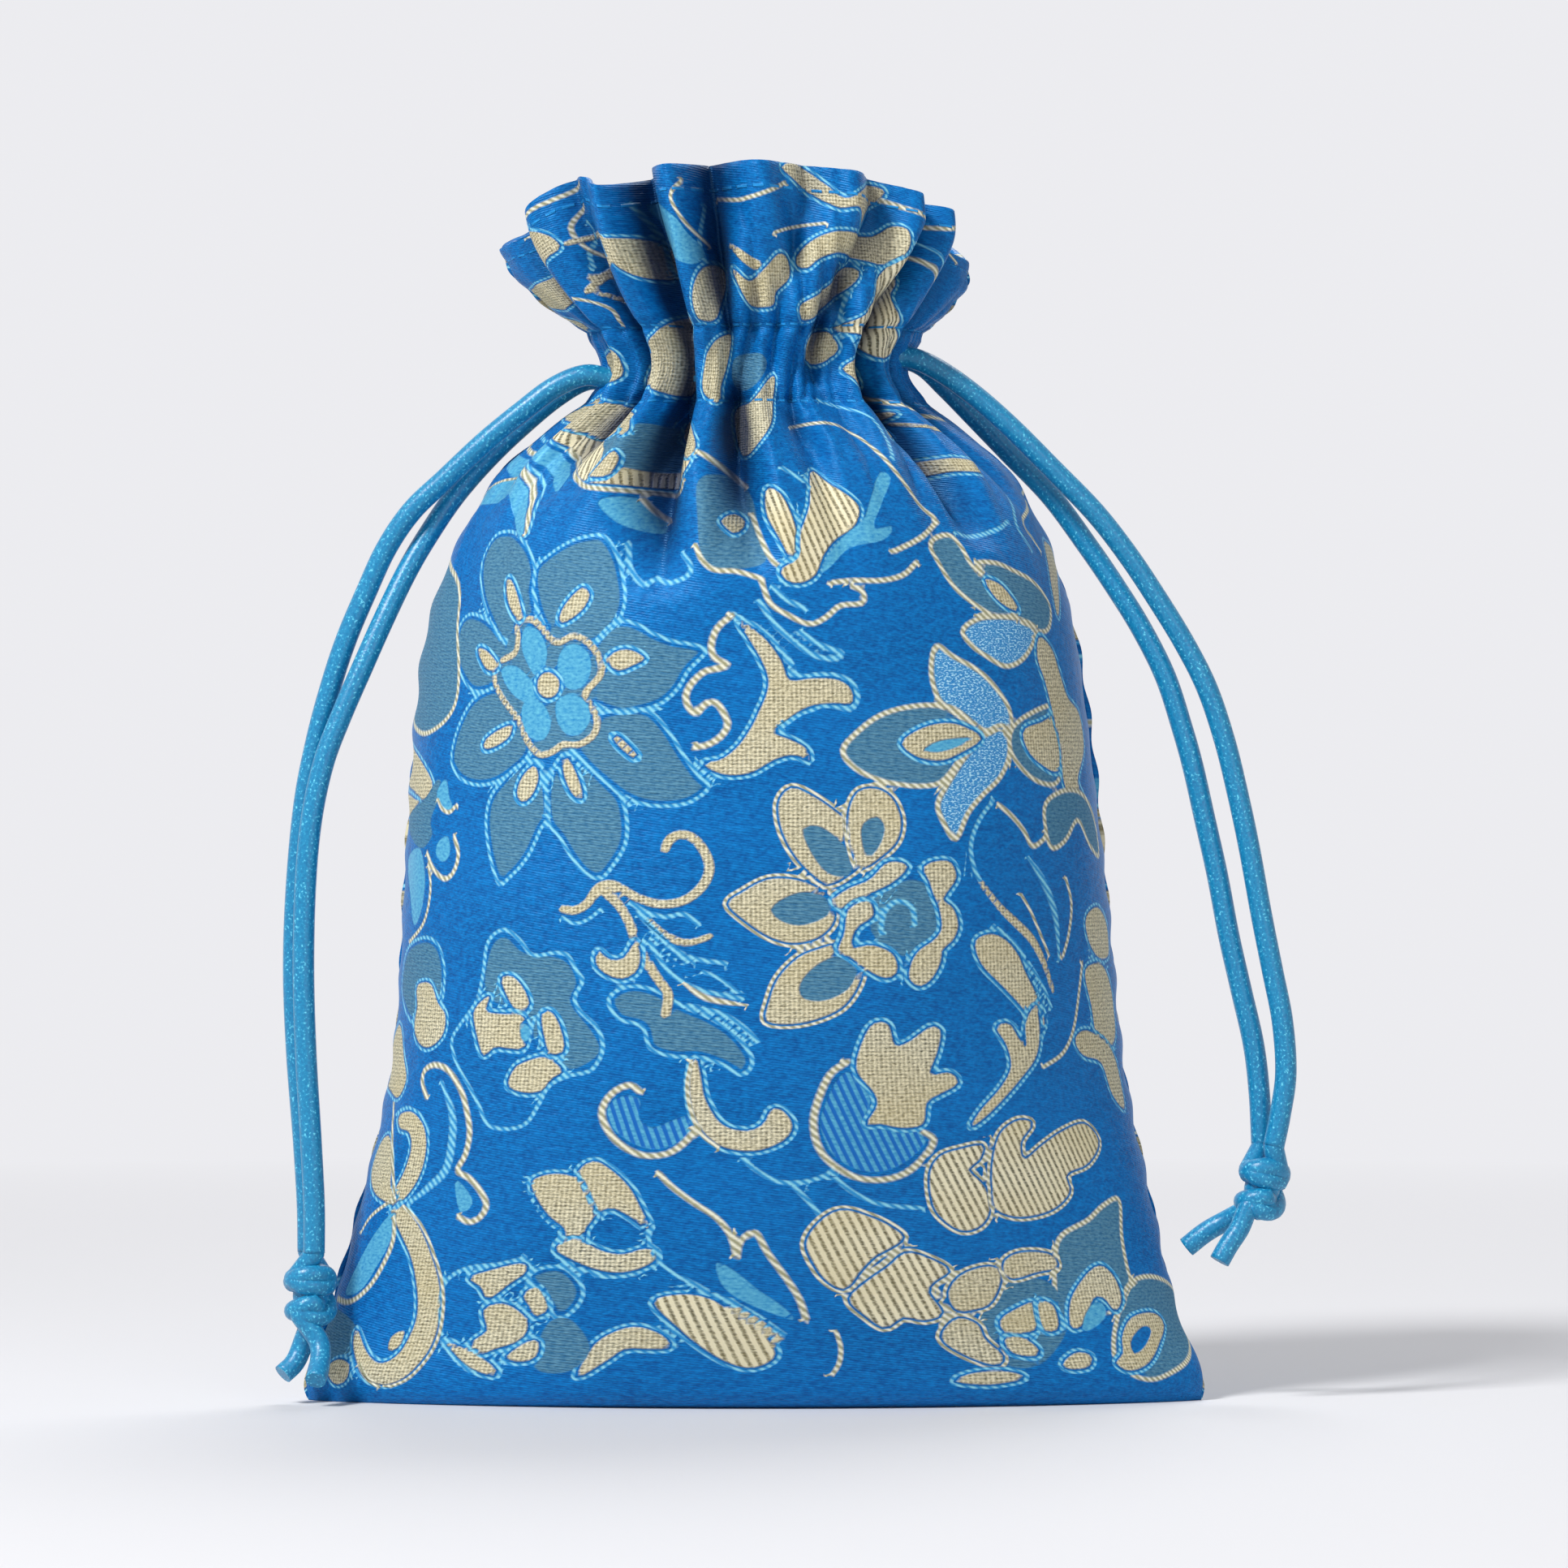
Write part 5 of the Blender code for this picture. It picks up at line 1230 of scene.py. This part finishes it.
class Finish:
    """The node tree of a material or of the world, with its main shader."""

    def __init__(self, owner, shader="Principled BSDF", **plain_values):
        owner.use_nodes = True
        self.owner, self.tree = owner, owner.node_tree
        self.shader = self.tree.nodes[shader]
        for socket, value in plain_values.items():
            self.set(socket.replace("_", " "), value)

    def node(self, kind, settings=None, values=None, output=0):
        made = self.tree.nodes.new(kind)
        for key, value in (settings or {}).items():
            setattr(made, key, value)
        for key, value in (values or {}).items():
            self.join(made.inputs[key], value)
        return Value(self, made.outputs[output])

    def join(self, socket, value):
        """A plain colour of three numbers gets its fourth."""
        if isinstance(value, Value):
            self.tree.links.new(value.socket, socket)
        elif socket.type == 'RGBA':
            socket.default_value = (*value[:3], 1.0)
        else:
            socket.default_value = value

    def set(self, name, value):
        self.join(self.shader.inputs[name], value)

    def attribute(self, name):
        return self.node("ShaderNodeAttribute", {"attribute_name": name}, output="Fac")

    def clamp(self, value):
        return self.node("ShaderNodeMath", {"operation": "ADD", "use_clamp": True},
                         {0: value, 1: 0.0})

    def sine(self, value):
        return self.node("ShaderNodeMath", {"operation": "SINE"}, {0: value})

    def absolute(self, value):
        return self.node("ShaderNodeMath", {"operation": "ABSOLUTE"}, {0: value})

    def uv(self, name):
        """Both numbers of a UV map."""
        place = self.node("ShaderNodeUVMap", {"uv_map": name})
        across = self.node("ShaderNodeSeparateXYZ", {}, {0: place})
        return across, Value(self, across.socket.node.outputs[1])

    def bump(self, height, strength):
        self.set("Normal", self.node("ShaderNodeBump", {}, {
            "Strength": strength, "Distance": MM, "Height": height}))

    def blend(self, share, low, high):
        return self.node("ShaderNodeMix", {"data_type": "RGBA"},
                         {"Factor": share, "A": low, "B": high}, output="Result")

    def noise(self, vector, scale, detail):
        return self.node("ShaderNodeTexNoise", {},
                         {"Vector": vector, "Scale": scale, "Detail": detail}, output="Fac")


def linear(red, green, blue):
    """A colour from its picture values, 0 to 255."""
    return tuple(v / 255 / 12.92 if v < 11 else ((v / 255 + 0.055) / 1.055) ** 2.4
                 for v in (red, green, blue))


# %% [markdown]
# ## Brocade
# The ground is a tight satin of blue thread, a little mottled, with a soft gloss. Gold thread
# stands a little proud of it in small pebbles, or in slanting ribs on the buds; its colour is
# near white on the tops of the pebbles and ribs and dark between them, a painted highlight and
# painted shade on that relief. The grey-blue petals lie flat and dull, and the sky-blue threads
# shine. The bump follows all of them. Two rows of stitches hold the casing and one holds the hem.
# In the valleys of the folds the colour is darkened towards a deep blue: painted shade.

# %% Brocade finish
CELL = 2 * pi
SEWN_ROWS = (float(np.interp(2, ROW["q"], ROW["along"])) / MM,
             float(np.interp(3, ROW["q"], ROW["along"])) / MM, CLOTH_LENGTH - 3.0)
PEBBLE, TWIST, STITCH, ROW_PITCH = 0.92, 0.95, 2.4, 0.46
EDGE = 0.2


def thread_masks(made):
    """How much of each thread shows at a point."""
    mask = {name: made.clamp(0.5 - made.attribute(name) / EDGE) for name in THREADS}
    for name in OUTLINE_HALF:
        away = made.absolute(made.attribute(name + "_side"))
        mask[name] = mask[name] * made.clamp(1.6 - away * 1.1)
    return mask


def sewn_rows(made, across, along):
    """Dashes along the two rows that hold the casing and the one that holds the hem."""
    on_row = 0
    for place in SEWN_ROWS:
        on_row = on_row + made.clamp(1.6 - made.absolute(along - place) * 6.0)
    return on_row * made.clamp(made.sine(across * (CELL / STITCH)) * 6.0 + 3.2)


def brocade(name, ground_dark, ground_light):
    made = Finish(bpy.data.materials.new(name), Sheen_Weight=0.06, Sheen_Roughness=0.4,
                  Sheen_Tint=(0.3, 0.7, 1.0), Specular_IOR_Level=0.5,
                  Specular_Tint=(0.25, 0.6, 1.0))
    across, along = (part * (UV_METRES / MM) for part in made.uv("cloth"))

    def wave(across_pitch, along_pitch):
        return made.sine(across * (CELL / across_pitch) + along * (CELL / along_pitch))

    mask, stitch = thread_masks(made), sewn_rows(made, across, along)
    ribbed, beaded = made.attribute("ribbed"), made.attribute("beads")
    row = made.sine(along * (CELL / ROW_PITCH))
    pebble = wave(PEBBLE, PEBBLE) * wave(PEBBLE, -PEBBLE)
    slant, weft = wave(0.85, 2.6), wave(1.7, 0.30)
    combined = made.node("ShaderNodeCombineXYZ", {}, {0: across * 0.55, 1: along})
    fine, cloudy = made.noise(combined, 3.1, 3.0), made.noise(combined, 0.11, 1.0)
    speck, mottle = made.noise(combined, 5.5, 1.0), made.noise(combined, 1.1, 2.0)

    ground = made.blend(made.clamp(fine * 2.6 + mottle * 1.4 - 1.5), ground_dark, ground_light)
    ground = made.blend(made.clamp(cloudy * 1.2 - 0.35) * 0.35, ground, linear(16, 132, 220))
    petal = made.blend(made.clamp(fine * 2.4 - 0.7 + row * 0.12),
                       linear(50, 104, 138), linear(100, 148, 168))
    beads = made.clamp(beaded * made.clamp(speck * 9.0 - 4.6))
    sky = made.blend(made.clamp(fine * 2.0 - 0.5), linear(40, 134, 194), linear(112, 196, 220))
    sky = made.blend(ribbed * made.clamp(0.5 - slant * 0.9), sky, linear(26, 106, 192))
    sky = made.blend(beaded * 0.55, sky, linear(34, 116, 200))
    sky = made.blend(beads, sky, linear(178, 226, 246))
    # the gold's pebbles and ribs: their height for the bump, and as colour a painted highlight near
    # white on their tops and painted shade between them
    pebble_height_and_highlight = made.clamp(0.62 + pebble * 0.34 * (1 - ribbed) + (slant * 0.7 + 0.25) * ribbed
                       + (fine - 0.5) * 1.5 + (speck - 0.5) * 1.0)
    gold = made.blend(pebble_height_and_highlight, linear(92, 86, 58), linear(250, 240, 204))
    gold = made.blend(made.clamp(cloudy * 1.9 - 0.55) * 0.45, gold, linear(204, 182, 116))
    twist = made.clamp(wave(TWIST, TWIST) * 0.55 + fine * 1.1 - 0.1)
    cyan = made.blend(twist, linear(50, 146, 206), linear(146, 218, 236))
    cream = made.blend(twist, linear(164, 160, 122), linear(246, 242, 216))

    colour = made.blend(mask["petal"] * 0.92, ground, petal)
    for thread, laid in (("sky", sky), ("gold", gold), ("cyan", cyan), ("cream", cream)):
        colour = made.blend(mask[thread], colour, laid)
    colour = made.blend(stitch, colour, linear(40, 148, 220))
    # painted shade: the deeper a point lies in a fold, the nearer its colour comes to a deep blue
    shaded = made.clamp(made.attribute("painted_fold_shade") * 1.7 - 0.32)
    made.set("Base Color", made.blend(shaded * 0.88, colour, linear(0, 24, 68)))
    made.set("Roughness", 0.42 + mask["petal"] * 0.16 + mask["gold"] * 0.02
             - mask["sky"] * 0.06 + (fine - 0.5) * 0.2)
    proud = made.clamp(mask["gold"] + mask["cream"] + mask["cyan"] + mask["sky"])
    made.bump(mask["gold"] * (0.16 + pebble_height_and_highlight * 0.16) + mask["cream"] * 0.14
              + mask["cyan"] * 0.08 + stitch * 0.16
              + mask["sky"] * (0.07 + slant * ribbed * 0.05) + mask["petal"] * row * 0.02
              + (1 - proud) * (weft * 0.018 + fine * 0.07 + mottle * 0.16), 0.9)
    return made


front_brocade = brocade("front_brocade", linear(0, 80, 150), linear(6, 122, 196))
back_brocade = brocade("back_brocade", linear(0, 78, 148), linear(6, 118, 190))
front.data.materials.append(front_brocade.owner)
back.data.materials.append(back_brocade.owner)
print(len(front_brocade.tree.nodes), "nodes in the brocade")

# %% [markdown]
# ## Braid
# The cords are a glossy braid of fine turquoise thread. Two sets of threads wind round the
# cord in opposite ways. The UV map says how far round and along each point is, so two slanting
# waves cross and make the braid's small diamonds. They stand out in the bump, and the colour is
# lighter on their crests and darker in the grooves: a painted highlight and painted shade.

# %% Braid finish
braid = Finish(bpy.data.materials.new("turquoise_braid"), Sheen_Weight=0.2, Sheen_Roughness=0.3)
around, down = braid.uv("UVMap")
around, down = around * (5 * CELL), down * (UV_METRES / BRAID_PITCH * CELL)
left_turn, right_turn = braid.sine(around + down), braid.sine(around - down)
weave = left_turn * right_turn
fibres = braid.sine(around * 3 + down * 3) * braid.clamp(left_turn * 4) + braid.sine(
    around * 3 - down * 3) * braid.clamp(right_turn * 4)
spots = braid.noise(braid.node("ShaderNodeTexCoord", output="Object"), 3200.0, 1.0)
# painted highlight on the crests of the diamonds and painted shade in the grooves between them,
# over the turquoise of the thread
shade = braid.blend(braid.clamp(weave * 0.5 + 0.5 + (spots - 0.5) * 0.8),
                    linear(0, 84, 146), linear(34, 170, 214))
shade = braid.blend(braid.clamp(spots * 9 - 5.6), shade, linear(110, 214, 240))
braid.set("Base Color", shade)
braid.set("Roughness", 0.36 + (spots - 0.5) * 0.25)
braid.bump(weave * 0.16 + fibres * 0.05 + spots * 0.04, 0.8)
for piece in pieces["left"] + pieces["right"]:
    piece.data.materials.append(braid.owner)

# %% [markdown]
# ## Floor and light
# A pale floor that curves up into a pale backdrop keeps the look plain. Near the pouch it is
# lit as paper and takes the shadow; further off the camera sees one even pale grey, which the
# Light Path node gives without any more light on the pouch. A soft lamp at the upper left
# front, a weak one at the right, one behind and a dim room light the cloth.

# %% Floor, backdrop and lamps
bm = bmesh.new()
SWEEP = ((-1.6, 0.0), (1.20, 0.0), (1.36, 0.02), (1.48, 0.08), (1.55, 0.20), (1.56, 1.8))
FLOOR_WIDTH = 5.2
edge = [bm.verts.new((-FLOOR_WIDTH / 2, y, z)) for y, z in SWEEP]
edges = [bm.edges.new(pair) for pair in zip(edge, edge[1:])]
grown = bmesh.ops.extrude_edge_only(bm, edges=edges)["geom"]
bmesh.ops.translate(bm, vec=(FLOOR_WIDTH, 0, 0),
                    verts=[g for g in grown if isinstance(g, bmesh.types.BMVert)])
bmesh.ops.recalc_face_normals(bm, faces=bm.faces)
floor_mesh = bpy.data.meshes.new("floor")
bm.to_mesh(floor_mesh)
bm.free()
PALE = (0.84, 0.84, 0.87)
paper = Finish(bpy.data.materials.new("pale_paper"), Roughness=0.7,
               Base_Color=(0.72, 0.72, 0.74))


def seen(finish):
    """1 for rays from the camera, and for its reflections and glass."""
    rays = finish.node("ShaderNodeLightPath", output="Is Camera Ray")
    outputs = rays.socket.node.outputs
    return finish.clamp(rays + Value(finish, outputs["Is Glossy Ray"])
                        + Value(finish, outputs["Is Transmission Ray"]))


spot = paper.node("ShaderNodeTexCoord", output="Object")
distance = paper.node("ShaderNodeVectorMath", {"operation": "LENGTH"}, {0: spot}, output="Value")
far_off = paper.clamp((distance - 0.20) * 2.6) * seen(paper)
glow = paper.node("ShaderNodeEmission", {}, {"Color": PALE, "Strength": 1.0})
lit = Value(paper, paper.shader.outputs[0])
shown = paper.node("ShaderNodeMixShader", {}, {"Fac": far_off, 1: lit, 2: glow})
paper.join(paper.tree.nodes["Material Output"].inputs["Surface"], shown)
floor = link("floor", floor_mesh)
floor_mesh.materials.append(paper.owner)
floor_mesh.shade_smooth()
LIT_POINT = Vector((0, 0, 0.07))
ROOM_LIGHT = 0.23


def soft_lamp(name, place, size, watts):
    data = bpy.data.lights.new(name, 'AREA')
    data.shape, data.size, data.energy = 'DISK', size, watts
    lamp = bpy.data.objects.new(name, data)
    bpy.context.scene.collection.objects.link(lamp)
    lamp.location = place
    lamp.rotation_euler = (LIT_POINT - Vector(place)).to_track_quat('-Z', 'Y').to_euler()


soft_lamp("key", (-0.56, -0.60, 0.92), 0.26, 12.6)
soft_lamp("fill", (0.40, -0.85, 0.30), 0.5, 1.1)
soft_lamp("back", (0.15, 0.45, 0.75), 0.5, 3.0)
world = bpy.data.worlds.new("room")
bpy.context.scene.world = world
room = Finish(world, "Background", Color=PALE)
room.set("Strength", seen(room) * (1 - ROOM_LIGHT) + ROOM_LIGHT)
bpy.context.scene.view_settings.view_transform = 'Standard'
